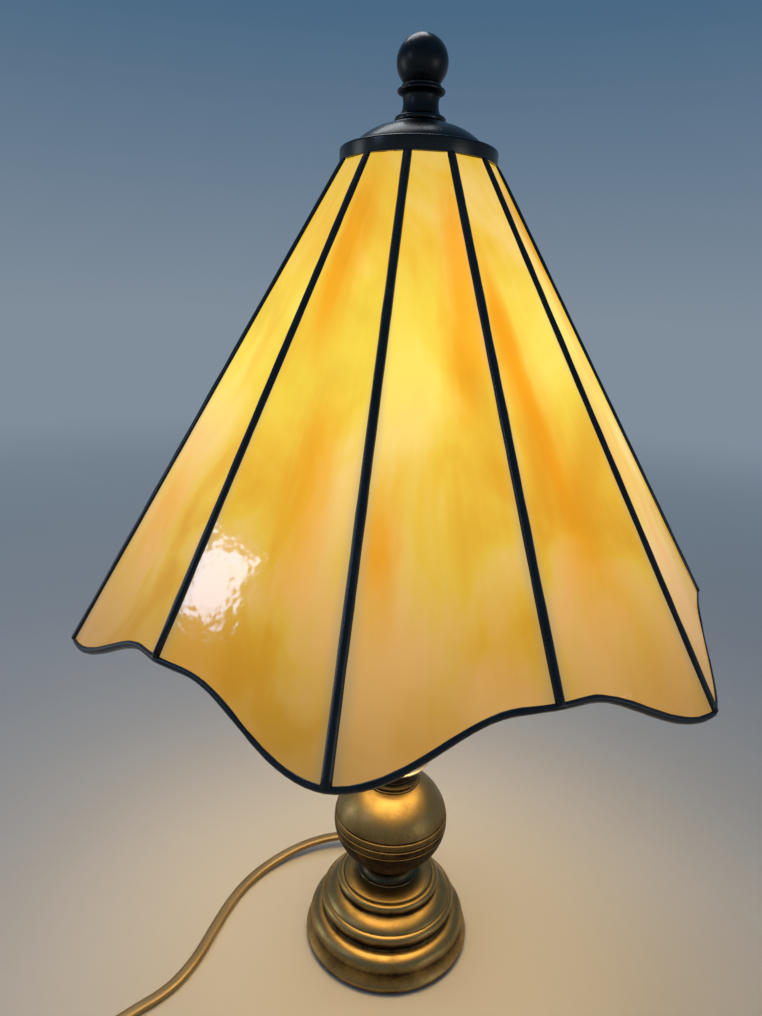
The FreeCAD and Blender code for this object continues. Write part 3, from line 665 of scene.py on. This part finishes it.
for k in range(18):
    stud_outline += [(3.1, 8.25 + stud_pitch * k), (2.85, 8.65 + stud_pitch * k)]
stud_outline += [(3.1, 22.8), (2.6, 23.4), (0, 23.4)]
stud = mark_hollows(spun("harp_stud", stud_outline, soften=0.06, rounds=48))
fixed(linked(stud, "harp_stud_turned", lacquered), "base", "lamp_brass", "harp_stud")


# Shade glass: twelve flat panels of slag glass, amber yellow with cream clouds and orange
# streaks that run down each panel. The sheet is cast, so it ripples a little and shines.
# The glass's glow is painted light: emission in its own colour stands in for the bulb shining through it.
panel_columns = 10
panel_rows = 44
ripple = 0.08 * MM
seam_meeting = Vector((0, 0, 457.6 * MM))    # where the lines of all the seams cross, above the cap
hot_spot = (0, 0, 290 * MM)                  # the painted glow of the glass is brightest round this height


def panel_frame(bm):
    """Outward, down and across directions of a panel, from its largest face."""
    face = max(bm.faces, key=lambda f: f.calc_area() * (f.normal.z > 0))
    out = face.normal.copy()
    down = (out * out.z - Vector((0, 0, 1))).normalized()
    return out, down, out.cross(down)


def panel_mesh(node):
    """The CAD panel cut into a fine net, rippled, with its fan coordinates as a UV map."""
    bm = merged_copy(node, flat_within=1)
    out, down, across = panel_frame(bm)

    def fan(place):
        """Angle about the seams' meeting point, and distance from it."""
        away = place - seam_meeting
        along = away.dot(down)
        aside = away.dot(across)
        return math.atan2(aside, along), math.hypot(aside, along)

    angles = [fan(v.co)[0] for v in bm.verts]
    slants = [fan(v.co)[1] for v in bm.verts]
    left, right = min(angles), max(angles)
    top, bottom = min(slants), max(slants)
    for k in range(1, panel_columns):
        angle = left + (right - left) * k / panel_columns
        cut_across = across * math.cos(angle) - down * math.sin(angle)
        bmesh.ops.bisect_plane(bm, geom=bm.verts[:] + bm.edges[:] + bm.faces[:], dist=1e-7,
                               plane_co=seam_meeting, plane_no=cut_across)
    for k in range(1, panel_rows):
        slant = top + (bottom - top) * k / panel_rows
        bmesh.ops.bisect_plane(bm, geom=bm.verts[:] + bm.edges[:] + bm.faces[:], dist=1e-7,
                               plane_co=seam_meeting + down * slant, plane_no=down)
    fan_map = bm.loops.layers.uv.new("fan")
    for face in bm.faces:
        for loop in face.loops:
            angle, slant = fan(loop.vert.co)
            loop[fan_map].uv = ((angle - left) / (right - left), (slant - top) / (bottom - top))
    for v in bm.verts:
        wave = noise.noise(v.co * 55) + 0.5 * noise.noise(v.co * 140)
        v.co += out * (ripple * wave)
    return bm


# One streak: a ragged band that runs down the panel between two heights.
streak, entry, leave = new_group(
    "glass_streak",
    [("Fan", "Vector", (0, 0, 0)), ("Across", "Float", 0.5), ("Lean", "Float", 0.0),
     ("Start", "Float", 0.0), ("End", "Float", 1.0), ("Width", "Float", 0.1),
     ("Strength", "Float", 1.0), ("Seed", "Float", 0.0)],
    [("Mask", "Float")],
)
parts = add(streak, "SeparateXYZ", {"Vector": entry["Fan"]}).outputs
lean = calc(streak, "MULTIPLY_ADD", parts["Y"], entry["Lean"], entry["Across"])
drawn_out = add(streak, "CombineXYZ", {"X": parts["X"], "Y": parts["Y"], "Z": entry["Seed"]}).outputs[0]
stretched = add(streak, "VectorMath", {0: drawn_out, 1: (4.0, 3.5, 1.0)}, operation="MULTIPLY").outputs[0]
ragged = cloudy(streak, stretched, 1.0, 4.0, Roughness=0.55)
shift = remap(streak, ragged, 0, 1, -0.20, 0.20)
wander = calc(streak, "ADD", parts["X"], shift)
apart = calc(streak, "SUBTRACT", wander, lean)
apart = calc(streak, "ABSOLUTE", apart)
apart = calc(streak, "DIVIDE", apart, entry["Width"])
band = remap(streak, apart, 1.0, 0.1, interpolation_type="SMOOTHSTEP")
head = calc(streak, "SUBTRACT", parts["Y"], entry["Start"])
tail = calc(streak, "SUBTRACT", entry["End"], parts["Y"])
span = calc(streak, "MINIMUM", head, tail)
span = calc(streak, "MULTIPLY_ADD", shift, 0.5, span)
fade = remap(streak, span, -0.03, 0.16, interpolation_type="SMOOTHSTEP")
mask = calc(streak, "MULTIPLY", band, fade)
mask = calc(streak, "MULTIPLY", mask, entry["Strength"])
streak.links.new(mask, leave["Mask"])

# Glass body: the cloudy yellow and cream of the sheet, pinker towards the rim, with painted light in it: a
# brighter yellow band at the bulb's height, painted shadow beside the seams, and a patchy strength for the
# painted glow.
clouded, entry, leave = new_group(
    "glass_clouds",
    [("Fan", "Vector", (0, 0, 0)), ("Seed", "Float", 0.0)],
    [("Color", "Color"), ("Light", "Float"), ("Shadow", "Float")],
)
where = add(clouded, "TexCoord").outputs["Object"]
parts = add(clouded, "SeparateXYZ", {"Vector": entry["Fan"]}).outputs
spread = add(clouded, "VectorMath", {0: where, 1: (24.0, 24.0, 13.0)}, operation="MULTIPLY").outputs[0]
own_place = add(clouded, "CombineXYZ", {"X": entry["Seed"], "Y": entry["Seed"]}).outputs[0]
spread = add(clouded, "VectorMath", {0: spread, 1: own_place}, operation="ADD").outputs[0]
drifts = cloudy(clouded, spread, 1.0, 3.0, Distortion=0.7)
drawn = add(clouded, "CombineXYZ", {"X": parts["X"], "Y": parts["Y"], "Z": entry["Seed"]}).outputs[0]
drawn = add(clouded, "VectorMath", {0: drawn, 1: (22.0, 3.0, 1.0)}, operation="MULTIPLY").outputs[0]
threads = cloudy(clouded, drawn, 1.0, 3.0)
mixed = calc(clouded, "MULTIPLY_ADD", threads, 0.08, drifts)
hue = ramp(clouded, mixed, (0.38, (1.0, 0.50, 0.020, 1)), (0.52, (1.0, 0.62, 0.05, 1)),
           (0.72, (0.98, 0.68, 0.20, 1)))
# Painted light: a band at the bulb's height is a brighter, purer yellow.
high_up = remap(clouded, parts["Y"], 0.16, 0.30, interpolation_type="SMOOTHSTEP")
low_down = remap(clouded, parts["Y"], 0.58, 0.40, interpolation_type="SMOOTHSTEP")
painted_bulb_glow = calc(clouded, "MULTIPLY", high_up, low_down)
painted_bulb_glow = calc(clouded, "MULTIPLY", painted_bulb_glow, 0.60)
body_colour = blend(clouded, painted_bulb_glow, hue, (1.0, 0.79, 0.07, 1))
lower = calc(clouded, "ADD", parts["Y"], drifts)
blush = remap(clouded, lower, 1.15, 1.50, 0, 0.75, interpolation_type="SMOOTHSTEP")
body_colour = blend(clouded, blush, body_colour, (1.0, 0.50, 0.13, 1))
clouded.links.new(body_colour, leave["Color"])
# Painted shadow: the glass goes towards a grey brown next to each seam.
side = calc(clouded, "SUBTRACT", parts["X"], 0.5)
side = calc(clouded, "ABSOLUTE", side)
side = calc(clouded, "MULTIPLY_ADD", drifts, 0.08, side)
shadow = remap(clouded, side, 0.455, 0.55, 0, 0.75, interpolation_type="SMOOTHSTEP")
clouded.links.new(shadow, leave["Shadow"])
# The strength of the painted glow varies a little with the clouds.
patchy = remap(clouded, mixed, 0.35, 0.70, 0.88, 1.07)
clouded.links.new(patchy, leave["Light"])


def slag_glass(number, streaks):
    """One panel's glass; each streak is (across, lean, start, end, width, strength) in fan coordinates."""
    made, tree, shader = new_material("slag_glass_%02d" % number, roughness=0.07, ior=1.5,
                                      emission_strength=1.0)
    fan = add(tree, "UVMap", uv_map="fan").outputs["UV"]
    body = use(tree, clouded, fan=fan, seed=number * 3.7)
    colour = body["Color"]
    for k, (across, lean, start, end, width, strength) in enumerate(streaks):
        mask = use(tree, streak, fan=fan, across=across, lean=lean, start=start, end=end, width=width,
                   strength=strength, seed=number * 5.3 + k)["Mask"]
        colour = blend(tree, mask, colour, (1.0, 0.40, 0.0, 1))
    colour = blend(tree, body["Shadow"], colour, (0.60, 0.44, 0.19, 1))
    # Painted light: the glass glows by emission, for the bulb's light shining through it, fading away from
    # the hot spot.
    where = add(tree, "TexCoord").outputs["Object"]
    away = add(tree, "VectorMath", {0: where, 1: hot_spot}, operation="DISTANCE").outputs["Value"]
    glow_falloff = remap(tree, away, 0.080, 0.180, 1.0, 0.37)
    strength = calc(tree, "MULTIPLY", glow_falloff, body["Light"])
    lit = add(tree, "VectorMath", {0: colour, "Scale": strength}, operation="SCALE").outputs[0]
    tree.links.new(lit, shader.inputs["Emission Color"])
    unlit = blend(tree, 0.35, colour, (0.55, 0.46, 0.34, 1))
    unlit = add(tree, "VectorMath", {0: unlit, "Scale": 0.11}, operation="SCALE").outputs[0]
    tree.links.new(unlit, shader.inputs["Base Color"])
    waves = cloudy(tree, where, 120.0, 2.0)
    grain(tree, shader, waves, 0.35, 0.4 * MM)
    return made


panel_streaks = {
    1: [(0.95, -0.42, 0.02, 0.52, 0.36, 0.85), (0.09, 0.04, 0.55, 0.82, 0.20, 0.95),
        (0.74, 0.05, 0.70, 0.92, 0.34, 0.35), (0.36, 0.00, 0.84, 1.05, 0.30, 0.4)],
    2: [(-0.08, 0.80, 0.13, 0.74, 0.26, 1.0), (0.00, 0.60, 0.25, 0.88, 0.42, 0.55),
        (0.52, 0.15, 0.80, 1.00, 0.30, 0.4)],
    3: [(0.30, 0.20, 0.55, 0.80, 0.18, 0.6), (0.75, 0.00, 0.10, 0.50, 0.20, 0.4)],
    4: [(0.70, -0.2, 0.10, 0.60, 0.26, 0.8)],
    5: [(0.25, 0.15, 0.30, 0.85, 0.26, 0.7), (0.80, 0.0, 0.05, 0.35, 0.26, 0.5)],
    6: [(0.55, -0.1, 0.15, 0.55, 0.26, 0.8), (0.30, 0.1, 0.70, 1.00, 0.30, 0.4)],
    7: [(0.15, 0.2, 0.20, 0.75, 0.30, 0.9)],
    8: [(0.85, -0.1, 0.35, 0.90, 0.30, 0.8), (0.30, 0.1, 0.05, 0.30, 0.24, 0.5)],
    9: [(0.40, 0.1, 0.05, 0.45, 0.25, 0.7), (0.70, -0.1, 0.60, 0.95, 0.24, 0.6)],
    10: [(0.20, 0.3, 0.25, 0.65, 0.26, 0.8)],
    11: [(0.25, 0.1, 0.55, 0.82, 0.34, 0.5), (0.60, -0.2, 0.25, 0.50, 0.24, 0.35)],
    12: [(0.40, -0.42, 0.00, 0.42, 0.40, 0.85), (0.60, 0.06, 0.40, 0.80, 0.24, 0.6),
         (0.28, 0.00, 0.76, 1.02, 0.45, 0.45)],
}
for number in range(1, 13):
    node = "glass_panel_%02d" % number
    panel = linked(panel_mesh(node), "panel_%02d" % number, slag_glass(number, panel_streaks[number]))
    fixed(panel, "shade", "slag_glass", node)


# Seams: copper foil on the glass edges run over with solder, then blackened. The bead is
# half round outside and lower inside, and a little uneven along its length.
black_solder, tree, shader = new_material("blackened_solder", metallic=0.25, specular_ior_level=0.6)
where = add(tree, "TexCoord").outputs["Object"]
cast_marks = cloudy(tree, where, 110.0, 5.0, Roughness=0.6)
patina = ramp(tree, cast_marks, (0.35, (0.005, 0.006, 0.008, 1)), (0.75, (0.014, 0.017, 0.021, 1)))
tree.links.new(patina, shader.inputs["Base Color"])
sheen = remap(tree, cast_marks, 0, 1, 0.20, 0.45)
tree.links.new(sheen, shader.inputs["Roughness"])
grain(tree, shader, cast_marks, 0.5, 0.4 * MM)


piece_length = 4 * MM
seam_swell = 0.16 * MM
seam_end = 3 * MM            # the length at either end of a seam that is bent or drawn out
run_into_rim = 1.7 * MM
bend_under_cap = 1.1 * MM
rise_under_cap = 0.9 * MM


def soldered_seams(node):
    """The CAD beads in short uneven lengths, run in under the cap and into the rim."""
    bm = merged_copy(node)
    low = min(v.co.z for v in bm.verts)
    high = max(v.co.z for v in bm.verts)
    for v in bm.verts:
        if v.co.z < low + seam_end:
            v.co += (v.co - seam_meeting).normalized() * run_into_rim
    levels = [low + k * piece_length for k in range(1, int((high - low) / piece_length))]
    for level in levels + [high - 0.5 * seam_end]:
        bmesh.ops.bisect_plane(bm, geom=bm.verts[:] + bm.edges[:] + bm.faces[:], dist=1e-7,
                               plane_co=(0, 0, level), plane_no=(0, 0, 1))
    bm.normal_update()
    for v in bm.verts:
        v.co += v.normal * (seam_swell * (noise.noise(v.co * 90) + 0.4 * noise.noise(v.co * 260)))
        near_top = min(max((v.co.z - (high - seam_end)) / seam_end, 0), 1)
        if near_top > 0:
            inward = Vector((-v.co.x, -v.co.y, 0)).normalized()
            bend = inward * bend_under_cap + Vector((0, 0, rise_under_cap))
            v.co += bend * near_top ** 2
    return bm


for node in ("corner_seams", "valley_seams"):
    fixed(linked(soldered_seams(node), node + "_soldered", black_solder), "shade", "black_patina", node)
# The shade ring is dressed in the same near-black painted-shade brass.
dress("shade_ring", painted_shade_black)


# Rim: one round bead of solder over the foil on the scalloped lower edge of the glass. It
# joins the ends of all the seams, and it is a little thicker in some places than in others.
shade_turn = math.radians(-7.6)
shade_lean = math.radians(30.33)
low_corner = 300.8 * MM      # down the glass from the seams' meeting point, to the edge
high_corner = 277.4 * MM
scallop_part = 0.83          # the part of a panel's width over which its edge rises
glass_thickness = 3.0 * MM
bead_inset = 1.55 * MM
bead_tall = 1.62 * MM
bead_deep = 2.05 * MM
steps_per_panel = 22
bead_sides = 14


def seam_line(azimuth):
    """Direction of a seam down from the point where all the seams meet."""
    reach = math.sin(shade_lean)
    return Vector((reach * math.sin(azimuth), -reach * math.cos(azimuth), -math.cos(shade_lean)))


bead_line = []
for panel_number in range(12):
    starts_low = panel_number % 2 == 0
    start = seam_line(shade_turn + math.tau * panel_number / 12)
    end = seam_line(shade_turn + math.tau * (panel_number + 1) / 12)
    opening = start.angle(end)
    outward = start.cross(end).normalized()
    if outward.z < 0:
        outward.negate()
    for k in range(steps_per_panel):
        part = k / steps_per_panel
        from_low = part if starts_low else 1 - part
        rise = 0.5 - 0.5 * math.cos(math.pi * min(from_low / scallop_part, 1))
        slant = low_corner + (high_corner - low_corner) * rise - bead_inset
        away = (start * math.sin((1 - part) * opening) + end * math.sin(part * opening)) / math.sin(opening)
        bead_line.append((seam_meeting + away * slant - outward * (glass_thickness / 2), outward))
bm = bmesh.new()
rings = []
for k, (place, outward) in enumerate(bead_line):
    before = bead_line[k - 1]
    after = bead_line[(k + 1) % len(bead_line)]
    along = (after[0] - before[0]).normalized()
    outward = (before[1] + outward + after[1]).normalized()
    outward = (outward - along * outward.dot(along)).normalized()
    down = along.cross(outward)
    uneven = 1 + 0.09 * noise.noise(place * 60) + 0.07 * noise.noise(place * 190)
    ring = []
    for side in range(bead_sides):
        angle = math.tau * side / bead_sides
        aside = outward * (bead_deep * math.cos(angle)) + down * (bead_tall * math.sin(angle))
        ring.append(bm.verts.new(place + uneven * aside))
    rings.append(ring)
for ring, following in zip(rings, rings[1:] + rings[:1]):
    for side in range(bead_sides):
        beside = (side + 1) % bead_sides
        bm.faces.new((ring[side], ring[beside], following[beside], following[side]))
bmesh.ops.recalc_face_normals(bm, faces=bm.faces[:])
fixed(linked(bm, "rim_soldered", black_solder), "shade", "black_patina", "rim_bead")


# Vase cap and finial: spun and turned brass in a dark bronze finish. The cap covers the top
# of the panels, and the finial screws onto the harp's stud and holds both down.
bronze = metal("dark_bronze", (0.040, 0.042, 0.042, 1), (0.012, 0.011, 0.010, 1), 0.24, undersides=0.3)
cap_outline = [
    (32.6, 0), (33.9, 0), (33.9, 4.8), (33.6, 5.7, 32.8, 6.0), (28.6, 6.2), (27.6, 7.8),
    (21.4, 12.7, 13.9, 15.4), (13.4, 16.0), (10.6, 16.55), (3.7, 16.55), (3.7, 15.15), (11.0, 15.15),
    (13.0, 14.2), (20.4, 11.3, 26.0, 7.0), (27.0, 4.7), (32.6, 4.5),
]
cap = mark_hollows(spun("vase_cap", half_section(cap_outline)))
fixed(linked(cap, "vase_cap_spun", bronze), "shade", "dark_bronze", "vase_cap")
finial_outline = [
    (3.17, 0), (10.2, 0), (11.0, 1.1, 10.3, 2.6), (8.8, 3.1), (7.6, 6.6, 8.0, 10.8), (9.4, 11.8),
    (10.2, 12.5, 9.5, 13.2), (8.2, 13.9), (8.4, 14.7), (7.4, 15.5), (10.86, 23.45, 0, 34.31), (0, 16.2),
    (3.17, 14.2),
]
finial = mark_hollows(spun("finial", half_section(finial_outline, arc_count=14)))
fixed(linked(finial, "finial_turned", bronze), "finial", "dark_bronze", "finial")


# Flex: flat twin core in gold satin plastic, 1.8 m of it. It leaves the foot at the back,
# runs round on the table to the front left, and the spare length lies in a tied coil.
flex_width = 6.1 * MM
flex_thickness = 3.8 * MM
flex_route = [
    (-1.0, 40.4, 8.2), (-3.9, 48.4, 8.3), (-9.1, 55.1, 8.2), (-16.2, 59.9, 8.0), (-24.4, 62.2, 7.7),
    (-32.9, 61.9, 7.3), (-44.4, 58.4, 6.8), (-57.8, 51.6, 5.8), (-71.2, 41.1, 4.0), (-83.0, 27.5, 2.6),
    (-91.0, 10.3, 2.0), (-96.2, -11.2, 2.0), (-100.4, -32.0, 2.0), (-108.5, -50.5, 2.0),
    (-125.0, -65.5, 2.0), (-138.0, -79.5, 2.1), (-146.5, -97.0, 2.6), (-148.35, -112.0, 3.0),
]
coil_low, coil_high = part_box("flex_coil")
coil_centre = (coil_low + coil_high) / 2
outer_turn = 44.35 * MM
inner_turn = 21.9 * MM
lower_layer = coil_low.z + flex_thickness / 2
upper_layer = coil_high.z - flex_thickness / 2
turns_in = 3.625
points_per_turn = 16
control_swell = 1 / math.cos(math.pi / points_per_turn)
route = [Vector(point) * MM for point in flex_route]
coil_count = int(2 * turns_in * points_per_turn)
for k in range(coil_count + 1):
    turn = k / points_per_turn
    inward = 1 - abs(turn / turns_in - 1)
    radius = (outer_turn + (inner_turn - outer_turn) * inward) * control_swell
    climb = min(max((turn - turns_in) / 0.3 + 0.5, 0), 1)
    angle = math.pi + math.tau * turn
    route.append(Vector((coil_centre.x + radius * math.cos(angle), coil_centre.y + radius * math.sin(angle),
                         lower_layer + (upper_layer - lower_layer) * climb)))
tail_route = [(-92.0, -170.35, 6.85), (-80.0, -168.6, 6.7), (-68.5, -165.2, 6.55)]
route += [Vector(point) * MM for point in tail_route]

flex_curve = bpy.data.curves.new("flex_route", "CURVE")
flex_curve.dimensions = "3D"
flex_curve.twist_mode = "Z_UP"
flex_curve.resolution_u = 6
line = flex_curve.splines.new("NURBS")
line.points.add(len(route) - 1)
for point, place in zip(line.points, route):
    point.co = (*place, 1)
line.order_u = 3
line.use_endpoint_u = True
flex_object = bpy.data.objects.new("flex_route", flex_curve)
scene.collection.objects.link(flex_object)


def mesh_of(made):
    """The shape of a curve object as a new mesh."""
    bpy.context.view_layer.update()
    return bpy.data.meshes.new_from_object(made.evaluated_get(bpy.context.evaluated_depsgraph_get()))


flex_path = [v.co.copy() for v in mesh_of(flex_object).vertices]

section_curve = bpy.data.curves.new("flex_section", "CURVE")
section_line = section_curve.splines.new("POLY")
section_count = 24
section_line.points.add(section_count - 1)
section_line.use_cyclic_u = True
waist = 0.10
for k in range(section_count):
    angle = math.tau * k / section_count
    side = math.copysign(abs(math.cos(angle)) ** 0.75, math.cos(angle))
    up = math.copysign(abs(math.sin(angle)) ** 0.75, math.sin(angle))
    dip = 1 - waist * math.exp(-(side / 0.22) ** 2)
    section_line.points[k].co = (side * flex_width / 2, up * dip * flex_thickness / 2, 0, 1)
section_object = bpy.data.objects.new("flex_section", section_curve)
scene.collection.objects.link(section_object)
flex_curve.bevel_mode = "OBJECT"
flex_curve.bevel_object = section_object
flex_curve.use_fill_caps = True
bm = bmesh.new()
bm.from_mesh(mesh_of(flex_object))
bmesh.ops.recalc_face_normals(bm, faces=bm.faces[:])

gold_plastic, tree, shader = new_material("gold_plastic", roughness=0.36, metallic=0.55)
where = add(tree, "TexCoord").outputs["Object"]
flake = cloudy(tree, where, 2200.0, 2.0)
tone = cloudy(tree, where, 30.0, 3.0)
mixed = calc(tree, "MULTIPLY_ADD", flake, 0.5, tone)
gold = ramp(tree, mixed, (0.45, (0.17, 0.115, 0.045, 1)), (1.0, (0.28, 0.20, 0.085, 1)))
tree.links.new(gold, shader.inputs["Base Color"])
grain(tree, shader, flake, 0.2, 0.05 * MM)
flex = fixed(linked(bm, "flex", gold_plastic), "base", "gold_flex", "flex_run", "flex_coil", "flex_tail")
bpy.data.objects.remove(flex_object)
bpy.data.objects.remove(section_object)
dress("inner_lead", gold_plastic)


# Strain relief: a moulded sleeve that presses into the foot's outlet with a small flange, and
# tapers along the flex in soft ribs, so that the flex can't kink where it comes out.
def lofted(line, stations, squareness, ring_count=40):
    """A closed solid along a line; each station is (distance, half width, half height) in mm."""
    bm = bmesh.new()
    rings = []
    for distance, wide, tall in stations:
        left_over = distance * MM
        for here, there in zip(line, line[1:]):
            if left_over <= (there - here).length or there is line[-1]:
                break
            left_over -= (there - here).length
        along = (there - here).normalized()
        side = Vector((0, 0, 1)).cross(along).normalized()
        up = along.cross(side)
        place = here + along * left_over
        ring = []
        for k in range(ring_count):
            angle = math.tau * k / ring_count
            over = math.copysign(abs(math.cos(angle)) ** squareness, math.cos(angle)) * wide * MM
            rise = math.copysign(abs(math.sin(angle)) ** squareness, math.sin(angle)) * tall * MM
            ring.append(bm.verts.new(place + side * over + up * rise))
        rings.append(ring)
    for ring, following in zip(rings, rings[1:]):
        for k in range(ring_count):
            beside = (k + 1) % ring_count
            bm.faces.new((ring[k], ring[beside], following[beside], following[k]))
    bm.faces.new(rings[0])
    bm.faces.new(rings[-1])
    bmesh.ops.recalc_face_normals(bm, faces=bm.faces[:])
    return bm


relief_stations = [
    (0, 3.9, 3.9), (0.3, 4.3, 4.3), (2.4, 4.3, 4.3), (2.5, 5.2, 5.2), (2.9, 5.6, 5.6), (4.9, 5.6, 5.6),
    (5.4, 5.3, 5.2), (5.6, 4.6, 4.2),
]
rib_count = 6
for k in range(rib_count):
    rib_start = 6.2 + 3.1 * k
    thin = 1 - 0.045 * k
    for along, wide, tall in ((0, 4.6, 4.0), (0.5, 4.9, 4.3), (1.8, 4.85, 4.2), (2.3, 4.4, 3.7)):
        relief_stations.append((rib_start + along, wide * thin, tall * thin))
relief_stations += [(25.2, 3.5, 2.6), (25.8, 3.2, 2.2)]
rubber = plain_finish("bush_rubber", (0.012, 0.011, 0.010, 1), (0.03, 0.026, 0.02, 1), 0.55, 900.0)
relief = linked(lofted(flex_path, relief_stations, 0.9), "strain_relief", rubber)
fixed(relief, "base", "rubber_bush", "outlet_bush")


# Tie and plug: a soft black strap holds the coil, and the flex ends in a moulded two-pin plug
# with a ribbed tail, a waist for the fingers and five low grip bars on each face.
strap = plain_finish("tie_strap", (0.008, 0.008, 0.008, 1), (0.02, 0.02, 0.02, 1), 0.8, 1500.0)
tie = linked(softened_copy("flex_tie", 0.35 * MM), "tie_strap_folded", strap)
fixed(tie, "base", "tie_black", "flex_tie")
plug_turn = math.radians(17.0)
plug_start = route[-1]
plug_way = Vector((math.cos(plug_turn), math.sin(plug_turn), 0))
plug_line = [plug_start, plug_start + plug_way * (45 * MM)]
plug_stations = [(0, 3.3, 2.4), (0.4, 3.9, 3.0)]
for k in range(3):
    for along, wide, tall in ((1.0, 4.2, 3.3), (2.3, 4.3, 3.4), (2.6, 3.7, 2.9), (3.1, 3.7, 2.9)):
        plug_stations.append((along + 2.4 * k, wide + 0.3 * k, tall + 0.3 * k))
plug_stations += [(8.6, 5.2, 4.2), (9.4, 8.2, 5.0), (10.6, 10.4, 5.6), (12.5, 11.6, 6.0), (15.0, 11.8, 6.1)]
for k in range(5):
    for along, wide, tall in ((16.0, 11.2, 5.6), (16.4, 11.0, 5.5), (17.4, 11.0, 5.5), (17.8, 11.5, 6.0),
                              (18.6, 11.5, 6.0)):
        plug_stations.append((along + 3 * k, wide, tall))
plug_stations += [
    (32.0, 11.9, 6.3), (36.5, 12.0, 6.45), (38.2, 11.9, 6.3), (38.8, 11.4, 5.9), (39.0, 10.6, 5.2),
]
plug = linked(lofted(plug_line, plug_stations, 0.55), "plug_moulded", gold_plastic)
fixed(plug, "base", "gold_flex", "plug_body")
pins = linked(softened_copy("plug_pins", 0.3 * MM), "plug_blades", contact)
fixed(pins, "base", "contact_brass", "plug_pins")
